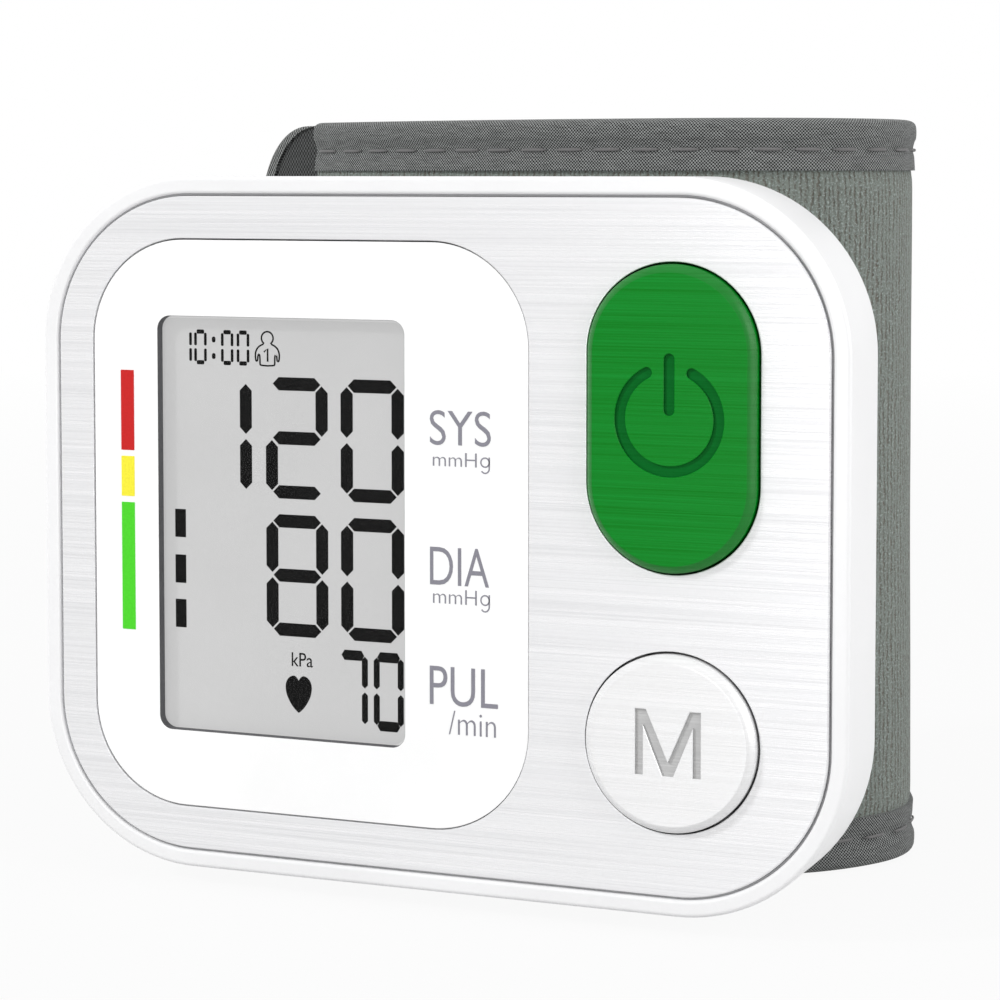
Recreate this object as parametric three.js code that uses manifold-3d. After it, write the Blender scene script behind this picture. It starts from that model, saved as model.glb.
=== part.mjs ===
// Wrist blood pressure monitor: a white case with a display and two buttons, on a fabric wrist cuff.
// Millimetres, +Z up, the face of the case looks along -Y. The part stands on the lower edge of its cuff,
// and the origin lies on that surface, under the middle of the part.
import * as THREE from 'three';
import { mergeVertices } from 'three/addons/utils/BufferGeometryUtils.js';
import Module from 'manifold-3d';

const wasm = await Module();
wasm.setup();

// Clearances
const FIT_GAP = 0.3;
const LAYER_GAP = 0.3;
const BINDING_GAP = 0.2;
const HINGE_GAP = 1.0;
const DISPLAY_GAP = 0.2;

// Case
const CASE_WIDTH = 80;
const CASE_HEIGHT = 65.6;
const CASE_CORNER = 15.75;
const CASE_WALL = 1.6;
const FRONT_DEPTH = 8.8;
const REAR_DEPTH = 16.2;
const REAR_STEP = 0.6;
const REAR_TAPER = 6;
const REAR_ROUND = 4;
const REAR_ROUND_RISE = 2.8;
const REAR_ROUND_TURN = 2;
const EDGE_ROUND = 0.9;
const RIM_WIDTH = 1.6;
const FRONT_WALL = 1.6;
const LIP_HEIGHT = 0.6;
const LIP_THICK = 1.0;

// Fascia plate and display
const PLATE_THICK = 1.2;
const PANEL_HEIGHT = 53.6;
const PANEL_CORNER = 9.5;
const PANEL_THICK = 0.95;
const PANEL_MARGIN = 3.75;
const PANEL_TO_KEYS = 5.95;
const VIEW_WIDTH = 25.54;
const VIEW_HEIGHT = 39.34;
const VIEW_CORNER = 1.3;
const VIEW_MARGIN = 6.83;
const WINDOW_THICK = 0.5;
const WINDOW_SINK = 0.25;
const LCD_OVERLAP = 0.75;
const LCD_THICK = 2.2;
const LCD_FRAME_WALL = 0.95;
const LCD_FRAME_BACK = 0.7;
const STRIP_HEIGHT = 2.4;
const STRIP_MARGIN = 1.6;

// Buttons
const BUTTON_MARGIN = 14.25;
const POWER_WIDTH = 15.7;
const POWER_HEIGHT = 27.2;
const POWER_Z = 11.56;
const MEMORY_DIAMETER = 15.9;
const MEMORY_Z = -17.2;
const BUTTON_PROUD = 1.05;
const BUTTON_ROUND = 0.5;
const BUTTON_FLANGE = 0.9;
const FLANGE_THICK = 0.8;
const BUTTON_TRAVEL = 0.8;
const MARK_DEPTH = 0.25;
const POWER_RING_DIAMETER = 9.15;
const POWER_MARK_STROKE = 0.97;
const POWER_RING_OPENING = 48;
const POWER_BAR_LENGTH = 5.45;
const POWER_BAR_TOP = 5.8;
const LETTER_WIDTH = 6.1;
const LETTER_HEIGHT = 5.85;
const LETTER_RISE = 0.15;
const LETTER_STROKE = 0.7;
const LETTER_FOOT = 1;
const LETTER_SHOULDER = 1.4;
const LETTER_NOTCH = 1.2;
const PLUNGER_DIAMETER = 3.2;
const PLUNGER_SEAT = 0.4;
const PRESS_SPARE = 0.1;
const SWITCH_SIDE = 6;

// Circuit board and screws
const BOARD_THICK = 1.0;
const BOARD_MARGIN = 0.9;
const CHIP_SIDE = 9;
const CHIP_THICK = 1.1;
const BOSS_DIAMETER = 4.6;
const POST_DIAMETER = 7.6;
const POST_FLOOR = 2;
const SCREW_DIAMETER = 2.2;
const SCREW_HEAD_DIAMETER = 4.4;
const SCREW_HEAD_HEIGHT = 1.6;
const SCREW_BITE = 5;
const SLOT_LENGTH = 2.9;
const SLOT_WIDTH = 0.7;
const SLOT_DEPTH = 0.8;
const LEFT_SCREW_INSET = 6.5;
const LEFT_SCREW_Z = 18;
const SCREW_TO_KEYS = 11.25;
const RIGHT_SCREW_INSET = 8.3;
const BOARD_SCREW_X = -20;
const BOARD_SCREW_BITE = 2.4;

// Batteries
const CELL_DIAMETER = 10.5;
const CELL_LENGTH = 44.5;
const CELL_GAP = 0.7;
const CELL_CAP_DIAMETER = 3.8;
const CELL_CAP_HEIGHT = 0.8;
const CELL_INSET = 7.7;
const TRAY_FLOOR = 0.8;
const TRAY_WALL = 0.8;
const TRAY_DEPTH = 6;
const CONTACT_THICK = 0.4;
const CONTACT_SIDE = 7;
const DOOR_SIDE_MARGIN = 0.5;
const DOOR_LENGTH = 10.3;
const DOOR_START = 1.1;
const DOOR_INSET = 8.8;
const DOOR_RIB = 3;
const GRIP_COUNT = 4;
const GRIP_PITCH = 2;
const GRIP_WIDTH = 0.9;
const GRIP_DEPTH = 0.5;

// Pump, valve and air line
const MOTOR_DIAMETER = 9.6;
const MOTOR_LENGTH = 18;
const MOTOR_BASE_Z = 2;
const PUMP_SIDE = 9.8;
const PUMP_LENGTH = 11;
const NIPPLE_DIAMETER = 2.4;
const NIPPLE_LENGTH = 1.6;
const HOSE_DIAMETER = 3.2;
const AIR_GAP = 0.6;
const SENSOR_SIDE = 6;
const SENSOR_THICK = 2.4;
const TEE_SIDE = 5;
const TEE_DEPTH = 3.6;
const VALVE_DIAMETER = 6.4;
const VALVE_LENGTH = 11.5;
const VALVE_HOSE_LENGTH = 7;
const VALVE_FOOT = 2;
const CONNECTOR_DIAMETER = 4;
const CONNECTOR_FLANGE = 6.6;
const CONNECTOR_FLANGE_THICK = 1;

// Cuff: the outer face of its band is a run of arcs, seen from above
const CUFF_HEIGHT = 72.8;
const CUFF_DROP = 1.8;
const SADDLE_DEPTH = 13.2;
const APEX_X = 16;
const NEAR_RADIUS = 90;
const NEAR_LENGTH = 44.6;
const CORNER_START = 2;
const CORNER_END = 100;
const CORNER_RADIUS = 16;
const SIDE_RUN = 8;
const BACK_RADIUS = 29;
const END_RADIUS = 27;
const LOOP_END = 262;
const COVER_THICK = 1.0;
const STIFFENER_THICK = 1.2;
const BLADDER_THICK = 1.6;
const LINING_THICK = 0.8;
const BINDING_THICK = 0.5;
const BINDING_WIDTH = 5.3;
const TAB_REACH = 13.9;
const TAB_TUCK = 5;
const TAB_THICK = 2.2;
const TAB_CORNER = 10.5;
const BLADDER_MARGIN = 5;
const BLADDER_END = 12;
const HOOK_THICK = 0.8;
const HOOK_LENGTH = 26;
const HOOK_MARGIN = 5;
const RIVET_OFFSET = 3.8;
const RIVET_SPAN = 20;
const RIVET_Z = 15;
const RIVET_DIAMETER = 2.6;
const RIVET_HEAD_DIAMETER = 5;
const RIVET_HEAD_HEIGHT = 0.5;
const RIVET_COLLAR_DIAMETER = 4.4;
const RIVET_COLLAR_HEIGHT = 1;

// Facets
const CORNER_STEPS = 8;
const ROUND_STEPS = 3;
const RING_SIDES = 48;
const PIN_SIDES = 16;
const HOSE_SIDES = 8;
const HOSE_STEPS = 10;
const ARC_STEP = 7;
const NEAR_STEP = 4;
const MERGE_TOLERANCE = 1e-4;
const OVERCUT = 0.5;
const FAR = 100;

// Places worked out from the dimensions, measured from the middle of the front face
const plateInset = RIM_WIDTH + FIT_GAP;
const plateWidth = CASE_WIDTH - 2 * plateInset;
const buttonX = plateWidth / 2 - BUTTON_MARGIN;
const panelLeft = -plateWidth / 2 + PANEL_MARGIN;
const panelRight = buttonX - POWER_WIDTH / 2 - PANEL_TO_KEYS;
const panelWidth = panelRight - panelLeft;
const panelX = (panelLeft + panelRight) / 2;
const viewX = panelLeft + VIEW_MARGIN + VIEW_WIDTH / 2;
const wallFront = PLATE_THICK + FIT_GAP;
const wallBack = wallFront + FRONT_WALL;
const lcdFront = PANEL_THICK + FIT_GAP;
const lcdBack = lcdFront + LCD_THICK;
const lcdWidth = VIEW_WIDTH + 2 * LCD_OVERLAP;
const lcdHeight = VIEW_HEIGHT + 2 * LCD_OVERLAP;
const lcdFrameWidth = lcdWidth + 2 * (FIT_GAP + LCD_FRAME_WALL);
const lcdFrameHeight = lcdHeight + 2 * (FIT_GAP + LCD_FRAME_WALL);
const flangeFront = wallBack + FIT_GAP;
const flangeBack = flangeFront + FLANGE_THICK;
const switchFront = Math.max(flangeBack, lcdBack + LCD_FRAME_BACK) + BUTTON_TRAVEL + FIT_GAP;
const plungerBack = switchFront + PLUNGER_SEAT;
const switchBack = plungerBack + BUTTON_TRAVEL + PRESS_SPARE;
const boardFront = switchBack + FIT_GAP;
const boardBack = boardFront + BOARD_THICK;
const behindBoard = boardBack + FIT_GAP;
const seamFront = FRONT_DEPTH;
const seamBack = FRONT_DEPTH + FIT_GAP;
const rearBack = FRONT_DEPTH + REAR_DEPTH;
const taperEnd = rearBack - REAR_ROUND;
const cuffFront = FRONT_DEPTH + SADDLE_DEPTH;
const cuffBottom = -CASE_HEIGHT / 2 - CUFF_DROP;
const cuffTop = cuffBottom + CUFF_HEIGHT;
const postFront = Math.max(seamBack + CASE_WALL, boardBack + 2 * FIT_GAP);
const headSeat = postFront + POST_FLOOR;
const rightScrewX = buttonX - SCREW_TO_KEYS;
const boardScrewZ = lcdFrameHeight / 2 + 2 * FIT_GAP + BOSS_DIAMETER / 2;
const cellZ = (CELL_DIAMETER + CELL_GAP) / 2;
const trayInner = cellZ + CELL_DIAMETER / 2 + FIT_GAP;
const airX = rightScrewX - POST_DIAMETER / 2 - AIR_GAP - SENSOR_SIDE / 2;
const airZ = -(trayInner + TRAY_WALL + AIR_GAP + SENSOR_SIDE / 2);

// Geometry helpers

const rad = THREE.MathUtils.degToRad;

function signedVolume(geometry) {
  const at = geometry.getAttribute('position');
  const index = geometry.index.array;
  const [a, b, c] = [new THREE.Vector3(), new THREE.Vector3(), new THREE.Vector3()];
  let volume = 0;
  for (let i = 0; i < index.length; i += 3) {
    a.fromBufferAttribute(at, index[i]);
    b.fromBufferAttribute(at, index[i + 1]);
    c.fromBufferAttribute(at, index[i + 2]);
    volume += a.dot(b.cross(c)) / 6;
  }
  return volume;
}

// Merges shared corners, drops empty triangles and turns the faces outwards.
function closed(geometry) {
  const bare = new THREE.BufferGeometry();
  bare.setAttribute('position', geometry.getAttribute('position').clone());
  bare.setIndex(geometry.index ? geometry.index.clone() : null);
  const merged = mergeVertices(bare, MERGE_TOLERANCE);
  const source = merged.index.array;
  const index = [];
  for (let i = 0; i < source.length; i += 3) {
    const [a, b, c] = [source[i], source[i + 1], source[i + 2]];
    if (a !== b && b !== c && c !== a) index.push(a, b, c);
  }
  merged.setIndex(index);
  if (signedVolume(merged) > 0) return merged;
  for (let i = 0; i < index.length; i += 3) [index[i], index[i + 1]] = [index[i + 1], index[i]];
  merged.setIndex(index);
  return merged;
}

function solid(geometry) {
  const mesh = closed(geometry);
  return new wasm.Manifold(new wasm.Mesh({
    numProp: 3,
    vertProperties: new Float32Array(mesh.getAttribute('position').array),
    triVerts: new Uint32Array(mesh.index.array),
  }));
}

function geometryOf(body) {
  const mesh = body.getMesh();
  const geometry = new THREE.BufferGeometry();
  geometry.setAttribute('position', new THREE.BufferAttribute(mesh.vertProperties, mesh.numProp));
  geometry.setIndex(new THREE.BufferAttribute(mesh.triVerts, 1));
  return geometry;
}

const joined = (first, ...rest) => rest.reduce((body, next) => body.add(next), first);
const cut = (first, ...rest) => rest.reduce((body, next) => body.subtract(next), first);

// A rounded rectangle in the plane of the front face.
function outline(width, height, radius, x = 0, z = 0) {
  const round = Math.min(radius, width / 2, height / 2);
  const points = [];
  const corners = [[1, 1, 0], [-1, 1, 90], [-1, -1, 180], [1, -1, 270]];
  for (const [sx, sz, start] of corners) {
    const cx = x + sx * (width / 2 - round);
    const cz = z + sz * (height / 2 - round);
    for (let i = 0; i <= CORNER_STEPS; i += 1) {
      const angle = rad(start + (90 * i) / CORNER_STEPS);
      points.push(new THREE.Vector2(cx + round * Math.cos(angle), cz + round * Math.sin(angle)));
    }
  }
  return points;
}

function circle(diameter, x, z, sides = RING_SIDES) {
  const radius = diameter / 2;
  const points = [];
  for (let i = 0; i < sides; i += 1) {
    const angle = (2 * Math.PI * i) / sides;
    points.push(new THREE.Vector2(x + radius * Math.cos(angle), z + radius * Math.sin(angle)));
  }
  return points;
}

function extruded(points, depth) {
  return new THREE.ExtrudeGeometry(new THREE.Shape(points), { depth, bevelEnabled: false });
}

// A flat shape of the front plane, run from depth y0 to depth y1.
function prism(points, y0, y1) {
  const geometry = extruded(points, y1 - y0);
  geometry.rotateX(Math.PI / 2);
  geometry.translate(0, y1, 0);
  return solid(geometry);
}

// A flat shape seen from above, run from height z0 to height z1.
function column(points, z0, z1) {
  const geometry = extruded(points, z1 - z0);
  geometry.translate(0, 0, z0);
  return solid(geometry);
}

function block(x0, x1, y0, y1, z0, z1) {
  const geometry = new THREE.BoxGeometry(x1 - x0, y1 - y0, z1 - z0);
  geometry.translate((x0 + x1) / 2, (y0 + y1) / 2, (z0 + z1) / 2);
  return solid(geometry);
}

// Round bars along the depth, the width and the height of the case.
function rodY(diameter, x, z, y0, y1, sides = PIN_SIDES) {
  const geometry = new THREE.CylinderGeometry(diameter / 2, diameter / 2, y1 - y0, sides);
  geometry.translate(x, (y0 + y1) / 2, z);
  return solid(geometry);
}

function rodX(diameter, y, z, x0, x1, sides = PIN_SIDES) {
  const geometry = new THREE.CylinderGeometry(diameter / 2, diameter / 2, x1 - x0, sides);
  geometry.rotateZ(Math.PI / 2);
  geometry.translate((x0 + x1) / 2, y, z);
  return solid(geometry);
}

function rodZ(diameter, x, y, z0, z1, sides = PIN_SIDES) {
  const geometry = new THREE.CylinderGeometry(diameter / 2, diameter / 2, z1 - z0, sides);
  geometry.rotateX(Math.PI / 2);
  geometry.translate(x, y, (z0 + z1) / 2);
  return solid(geometry);
}

// A skin over rings of equal count, with a flat end on the first and the last.
function loft(rings, section) {
  const count = section.length;
  const faces = THREE.ShapeUtils.triangulateShape(section, []);
  if (THREE.ShapeUtils.isClockWise(section)) faces.forEach((face) => face.reverse());
  const last = (rings.length - 1) * count;
  const index = [];
  for (const [a, b, c] of faces) index.push(a, b, c, last + a, last + c, last + b);
  for (let ring = 0; ring < last; ring += count) {
    for (let i = 0; i < count; i += 1) {
      const [a, b] = [ring + i, ring + ((i + 1) % count)];
      index.push(b, a, a + count, b, a + count, b + count);
    }
  }
  const geometry = new THREE.BufferGeometry().setFromPoints(rings.flat());
  geometry.setIndex(index);
  return solid(geometry);
}

// Rounded rectangles at growing depth, each inset from the full size.
function tapered(width, height, radius, levels, x = 0, z = 0) {
  const rings = levels.map(([y, inset]) =>
    outline(width - 2 * inset, height - 2 * inset, Math.max(radius - inset, OVERCUT), x, z)
      .map((p) => new THREE.Vector3(p.x, y, p.y)));
  return loft(rings, outline(width, height, radius, x, z));
}

// Depth and inset along a rounded edge that ends at full size.
function roundedEdge(front, radius) {
  const levels = [];
  for (let i = 0; i <= ROUND_STEPS; i += 1) {
    const angle = (Math.PI / 2) * (i / ROUND_STEPS);
    levels.push([front + radius * (1 - Math.cos(angle)), radius * (1 - Math.sin(angle))]);
  }
  return levels;
}

// The scene graph

const part = new THREE.Group();
const device = new THREE.Group();
part.add(device);

function finish(color, roughness, metalness = 0) {
  return new THREE.MeshStandardMaterial({ color, roughness, metalness });
}

const materials = {
  shell: finish(0xf3f3f5, 0.42),
  plate: finish(0xe8e8ea, 0.4, 0.25),
  panel: finish(0xfcfcfc, 0.15),
  window: finish(0xf4f7f7, 0.05),
  display: finish(0xcfd0cf, 0.3),
  green: finish(0x12882b, 0.35),
  key: finish(0xededee, 0.38, 0.15),
  darkPlastic: finish(0x2b2d30, 0.5),
  rubber: finish(0x3a3b3d, 0.7),
  board: finish(0x1f5f3c, 0.5),
  metal: finish(0xb9bcc0, 0.3, 0.9),
  cell: finish(0x8a8f96, 0.35, 0.6),
  cover: finish(0x7a817a, 0.95),
  binding: finish(0x626564, 0.9),
  lining: finish(0x55595a, 0.95),
  stiffener: finish(0xc9cbc9, 0.5),
  hook: finish(0x2f3232, 0.95),
};

function add(name, body, material) {
  const mesh = new THREE.Mesh(geometryOf(body), material);
  mesh.name = name;
  device.add(mesh);
}

// Case

const caseScrews = [
  [-CASE_WIDTH / 2 + LEFT_SCREW_INSET, LEFT_SCREW_Z],
  [-CASE_WIDTH / 2 + LEFT_SCREW_INSET, -LEFT_SCREW_Z],
  [rightScrewX, CASE_HEIGHT / 2 - RIGHT_SCREW_INSET],
  [rightScrewX, -CASE_HEIGHT / 2 + RIGHT_SCREW_INSET],
];
const boardScrews = [[BOARD_SCREW_X, boardScrewZ], [BOARD_SCREW_X, -boardScrewZ]];
const boreDiameter = SCREW_DIAMETER + 2 * FIT_GAP;
const powerHole = outline(
  POWER_WIDTH + 2 * FIT_GAP, POWER_HEIGHT + 2 * FIT_GAP, POWER_WIDTH, buttonX, POWER_Z);
const memoryHole = circle(MEMORY_DIAMETER + 2 * FIT_GAP, buttonX, MEMORY_Z);

function caseOutline(inset) {
  return outline(CASE_WIDTH - 2 * inset, CASE_HEIGHT - 2 * inset, CASE_CORNER - inset);
}

function frontCover() {
  const levels = [...roundedEdge(0, EDGE_ROUND), [seamFront, 0]];
  const shell = tapered(CASE_WIDTH, CASE_HEIGHT, CASE_CORNER, levels);
  const hollow = prism(caseOutline(CASE_WALL), wallBack, seamFront + OVERCUT);
  const recess = prism(caseOutline(RIM_WIDTH), -OVERCUT, wallFront);
  const frameHole = outline(lcdFrameWidth + 2 * FIT_GAP, lcdFrameHeight + 2 * FIT_GAP, VIEW_CORNER, viewX);
  const holes = [frameHole, powerHole, memoryHole].map((points) => prism(points, 0, wallBack + OVERCUT));
  const root = wallFront + FRONT_WALL / 2;
  const caseBosses = caseScrews.map(([x, z]) => cut(
    rodY(BOSS_DIAMETER, x, z, root, postFront - FIT_GAP),
    rodY(boreDiameter, x, z, headSeat - POST_FLOOR - SCREW_BITE - FIT_GAP, FAR)));
  const boardBosses = boardScrews.map(([x, z]) => cut(
    rodY(BOSS_DIAMETER, x, z, root, boardFront - FIT_GAP),
    rodY(boreDiameter, x, z, boardFront - FIT_GAP - BOARD_SCREW_BITE - FIT_GAP, FAR)));
  return joined(cut(shell, hollow, recess, ...holes), ...caseBosses, ...boardBosses);
}

function hull(inset, back, front) {
  return tapered(CASE_WIDTH, CASE_HEIGHT, CASE_CORNER, [
    [front, REAR_STEP + inset],
    [taperEnd, REAR_STEP + REAR_TAPER + inset],
    [taperEnd + REAR_ROUND_RISE - back, REAR_STEP + REAR_TAPER + REAR_ROUND_TURN + inset],
    [rearBack - back, REAR_STEP + REAR_TAPER + REAR_ROUND + inset],
  ]);
}

// How far the tapered side of the rear cover stands in from the full width at a depth.
function flankInset(y) {
  return REAR_STEP + (REAR_TAPER * (y - seamBack)) / (taperEnd - seamBack);
}

// The band's outer face, seen from above

// A point of an arc whose outward normal stands at an angle from -Y towards +X.
function arcPoint(centre, radius, angle) {
  const normal = new THREE.Vector2(Math.sin(angle), -Math.cos(angle));
  return { normal, at: centre.clone().addScaledVector(normal, radius) };
}

// The run of the band from its near end to its far end, as points with outward normals and lengths.
function bandRun() {
  const nearCentre = new THREE.Vector2(APEX_X, cuffFront + NEAR_RADIUS);
  const nearStart = -NEAR_LENGTH / NEAR_RADIUS;
  const stops = [];
  const arc = (centre, radius, from, to, step) => {
    const count = Math.max(1, Math.round((to - from) / step));
    for (let i = 0; i <= count; i += 1) {
      stops.push(arcPoint(centre, radius, from + ((to - from) * i) / count));
    }
  };
  const hub = (stop, radius) => stop.at.clone().addScaledVector(stop.normal, -radius);
  arc(nearCentre, NEAR_RADIUS, nearStart - TAB_REACH / NEAR_RADIUS, nearStart, rad(NEAR_STEP));
  arc(nearCentre, NEAR_RADIUS, nearStart, rad(CORNER_START), rad(NEAR_STEP));
  arc(hub(stops.at(-1), CORNER_RADIUS), CORNER_RADIUS, rad(CORNER_START), rad(CORNER_END), rad(ARC_STEP));
  const turn = stops.at(-1);
  const along = new THREE.Vector2(-turn.normal.y, turn.normal.x);
  stops.push({ normal: turn.normal, at: turn.at.clone().addScaledVector(along, SIDE_RUN), hinge: true });
  arc(hub(stops.at(-1), BACK_RADIUS), BACK_RADIUS, rad(CORNER_END), Math.PI, rad(ARC_STEP));
  arc(hub(stops.at(-1), END_RADIUS), END_RADIUS, Math.PI, rad(LOOP_END), rad(ARC_STEP));
  let length = -TAB_REACH;
  stops.forEach((stop, i) => {
    if (i > 0) length += stop.at.distanceTo(stops[i - 1].at);
    stop.length = length;
  });
  return stops.filter((stop, i) => i === 0 || stop.length - stops[i - 1].length > MERGE_TOLERANCE);
}

const run = bandRun();
const runEnd = run.at(-1).length;
const hinge = run.find((stop) => stop.hinge);
const nearEnd = hinge.length - HINGE_GAP / 2;
const flapStart = hinge.length + HINGE_GAP / 2;

// Depths of the band's layers under its outer face, and their heights inside the bindings
const stiffenerFront = COVER_THICK + LAYER_GAP;
const stiffenerBack = stiffenerFront + STIFFENER_THICK;
const bladderFront = stiffenerBack + LAYER_GAP;
const bladderBack = bladderFront + BLADDER_THICK;
const liningFront = Math.max(bladderBack, stiffenerFront + TAB_THICK) + LAYER_GAP;
const bandThick = liningFront + LINING_THICK;
const layerBottom = cuffBottom + BINDING_THICK + BINDING_GAP;
const layerTop = cuffTop - BINDING_THICK - BINDING_GAP;

// A stop at any length of the run, between the facets.
function stopAt(length) {
  const next = Math.max(1, run.findIndex((stop) => stop.length >= length - MERGE_TOLERANCE));
  const [a, b] = [run[next - 1], run[next]];
  const share = (length - a.length) / (b.length - a.length);
  const normal = a.normal.clone().lerp(b.normal, share).normalize();
  return { length, normal, at: a.at.clone().lerp(b.at, share) };
}

// A strip of the band: its section gives depth under the outer face and height, at each length.
function strip(from, to, sectionAt, extra = []) {
  const inside = run.map((stop) => stop.length).filter((length) => length > from && length < to);
  const lengths = [from, ...inside, ...extra, to].sort((a, b) => a - b);
  const apart = lengths.filter((length, i) => i === 0 || length - lengths[i - 1] > MERGE_TOLERANCE);
  const rings = apart.map((length) => {
    const stop = stopAt(length);
    return sectionAt(length).map(([depth, z]) => {
      const at = stop.at.clone().addScaledVector(stop.normal, -depth);
      return new THREE.Vector3(at.x, at.y, z);
    });
  });
  return loft(rings, sectionAt((from + to) / 2).map(([depth, z]) => new THREE.Vector2(depth, z)));
}

const flat = (d0, d1, z0, z1) => () => [[d0, z0], [d1, z0], [d1, z1], [d0, z1]];

// The edge binding folds over the band: a channel open towards the middle of the band's height.
function bindingSection(edge, inward) {
  const near = -BINDING_GAP;
  const far = bandThick + BINDING_GAP;
  const fold = edge + inward * BINDING_THICK;
  const hem = edge + inward * BINDING_WIDTH;
  return () => [
    [near - BINDING_THICK, hem], [near, hem], [near, fold], [far, fold],
    [far, hem], [far + BINDING_THICK, hem], [far + BINDING_THICK, edge], [near - BINDING_THICK, edge],
  ];
}

// The outer face of the near arc at a width, and the turn of its normal there.
const nearTurn = (x) => Math.asin((x - APEX_X) / NEAR_RADIUS);
const nearFace = (x) => cuffFront + NEAR_RADIUS * (1 - Math.cos(nearTurn(x)));

// A round bar square to the near arc, from one depth under its outer face to another.
function peg(diameter, x, z, d0, d1) {
  const geometry = new THREE.CylinderGeometry(diameter / 2, diameter / 2, d1 - d0, PIN_SIDES);
  geometry.translate(0, (d0 + d1) / 2, 0);
  geometry.rotateZ(nearTurn(x));
  geometry.translate(x, nearFace(x), z);
  return solid(geometry);
}

const rivetX = airX + RIVET_OFFSET;
const rivets = [-1, 1].flatMap((sx) => [-1, 1].map((sz) => [rivetX + (sx * RIVET_SPAN) / 2, sz * RIVET_Z]));
const caseSkin = -(FIT_GAP + CASE_WALL + FIT_GAP);
const pegHoles = [
  ...rivets.map(([x, z]) => peg(RIVET_DIAMETER + 2 * FIT_GAP, x, z, caseSkin, bladderBack)),
  peg(CONNECTOR_DIAMETER + 2 * FIT_GAP, airX, airZ, caseSkin, bladderFront),
];

// The space of the cuff, grown outwards, that hollows the back of the case into a saddle.
function saddle(growth) {
  const face = run.filter((stop) => stop.length <= hinge.length);
  const points = face.map((stop) => stop.at.clone().addScaledVector(stop.normal, growth));
  points.push(new THREE.Vector2(points.at(-1).x, FAR), new THREE.Vector2(points[0].x - FAR, FAR));
  points.push(new THREE.Vector2(points[0].x - FAR, points[0].y));
  return column(points, -FAR, FAR);
}

// Battery places
const cellLeft = -CASE_WIDTH / 2 + CELL_INSET;
const cellRight = cellLeft + CELL_LENGTH;
const cellFront = behindBoard + TRAY_FLOOR + FIT_GAP;
const cellY = cellFront + CELL_DIAMETER / 2;
const contactRight = cellRight + FIT_GAP + CONTACT_THICK;
const bridgeLeft = cellLeft - FIT_GAP - CONTACT_THICK;
const doorFront = seamBack + DOOR_START;
const doorBack = doorFront + DOOR_LENGTH;
const doorHalf = trayInner + TRAY_WALL + DOOR_SIDE_MARGIN;

function doorSpace(gap) {
  const right = -CASE_WIDTH / 2 + DOOR_INSET + gap;
  return block(-FAR, right, doorFront - gap, doorBack + gap, -doorHalf - gap, doorHalf + gap);
}

const outerHull = hull(0, 0, seamBack);
const rearShell = cut(
  outerHull,
  saddle(FIT_GAP),
  cut(hull(CASE_WALL, CASE_WALL, seamBack - OVERCUT), saddle(FIT_GAP + CASE_WALL)));

function rearCover() {
  const lipInset = CASE_WALL + FIT_GAP;
  const lip = cut(
    prism(caseOutline(lipInset), seamFront - LIP_HEIGHT, seamBack + LIP_THICK),
    prism(caseOutline(lipInset + LIP_THICK), 0, FAR));
  const posts = caseScrews.map(([x, z]) =>
    cut(rodY(POST_DIAMETER, x, z, postFront, FAR).intersect(outerHull), saddle(FIT_GAP)));
  const wells = caseScrews.flatMap(([x, z]) => [
    rodY(boreDiameter, x, z, 0, FAR),
    rodY(SCREW_HEAD_DIAMETER + 2 * FIT_GAP, x, z, headSeat, FAR),
  ]);
  return cut(joined(rearShell, lip, ...posts), ...wells, ...pegHoles, doorSpace(FIT_GAP));
}

function batteryDoor() {
  const rib = block(
    -FAR, bridgeLeft - FIT_GAP, cellY - DOOR_RIB / 2, cellY + DOOR_RIB / 2, -CELL_DIAMETER, CELL_DIAMETER);
  const grips = [];
  for (let i = 0; i < GRIP_COUNT; i += 1) {
    const y = (doorFront + doorBack) / 2 + (i - (GRIP_COUNT - 1) / 2) * GRIP_PITCH;
    const x = -CASE_WIDTH / 2 + flankInset(y) - GRIP_WIDTH / 2 + GRIP_DEPTH;
    grips.push(rodZ(GRIP_WIDTH, x, y, -CELL_DIAMETER / 2, CELL_DIAMETER / 2));
  }
  return cut(joined(rearShell.intersect(doorSpace(0)), rib.intersect(outerHull)), ...grips);
}

add('front_cover', frontCover(), materials.shell);
add('rear_cover', rearCover(), materials.shell);
add('battery_door', batteryDoor(), materials.shell);

// A screw along the depth: its head at the back, its shank pointing to the front.
function screw(x, z, seat, reach) {
  const headBack = seat + FIT_GAP + SCREW_HEAD_HEIGHT;
  const head = rodY(SCREW_HEAD_DIAMETER, x, z, seat + FIT_GAP, headBack);
  const slot = block(
    x - SLOT_LENGTH / 2, x + SLOT_LENGTH / 2, headBack - SLOT_DEPTH, FAR,
    z - SLOT_WIDTH / 2, z + SLOT_WIDTH / 2);
  return joined(cut(head, slot), rodY(SCREW_DIAMETER, x, z, seat - reach, seat + 2 * FIT_GAP));
}

caseScrews.forEach(([x, z], i) => {
  add(`case_screw_${i + 1}`, screw(x, z, headSeat, POST_FLOOR + SCREW_BITE), materials.metal);
});
boardScrews.forEach(([x, z], i) => {
  add(`board_screw_${i + 1}`, screw(x, z, boardBack, BOARD_THICK + BOARD_SCREW_BITE), materials.metal);
});

// Fascia and display

const panelHole = outline(
  panelWidth + 2 * DISPLAY_GAP, PANEL_HEIGHT + 2 * DISPLAY_GAP, PANEL_CORNER + DISPLAY_GAP, panelX);
const viewHole = outline(VIEW_WIDTH, VIEW_HEIGHT, VIEW_CORNER, viewX);
const through = (points) => prism(points, -OVERCUT, FAR);

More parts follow.
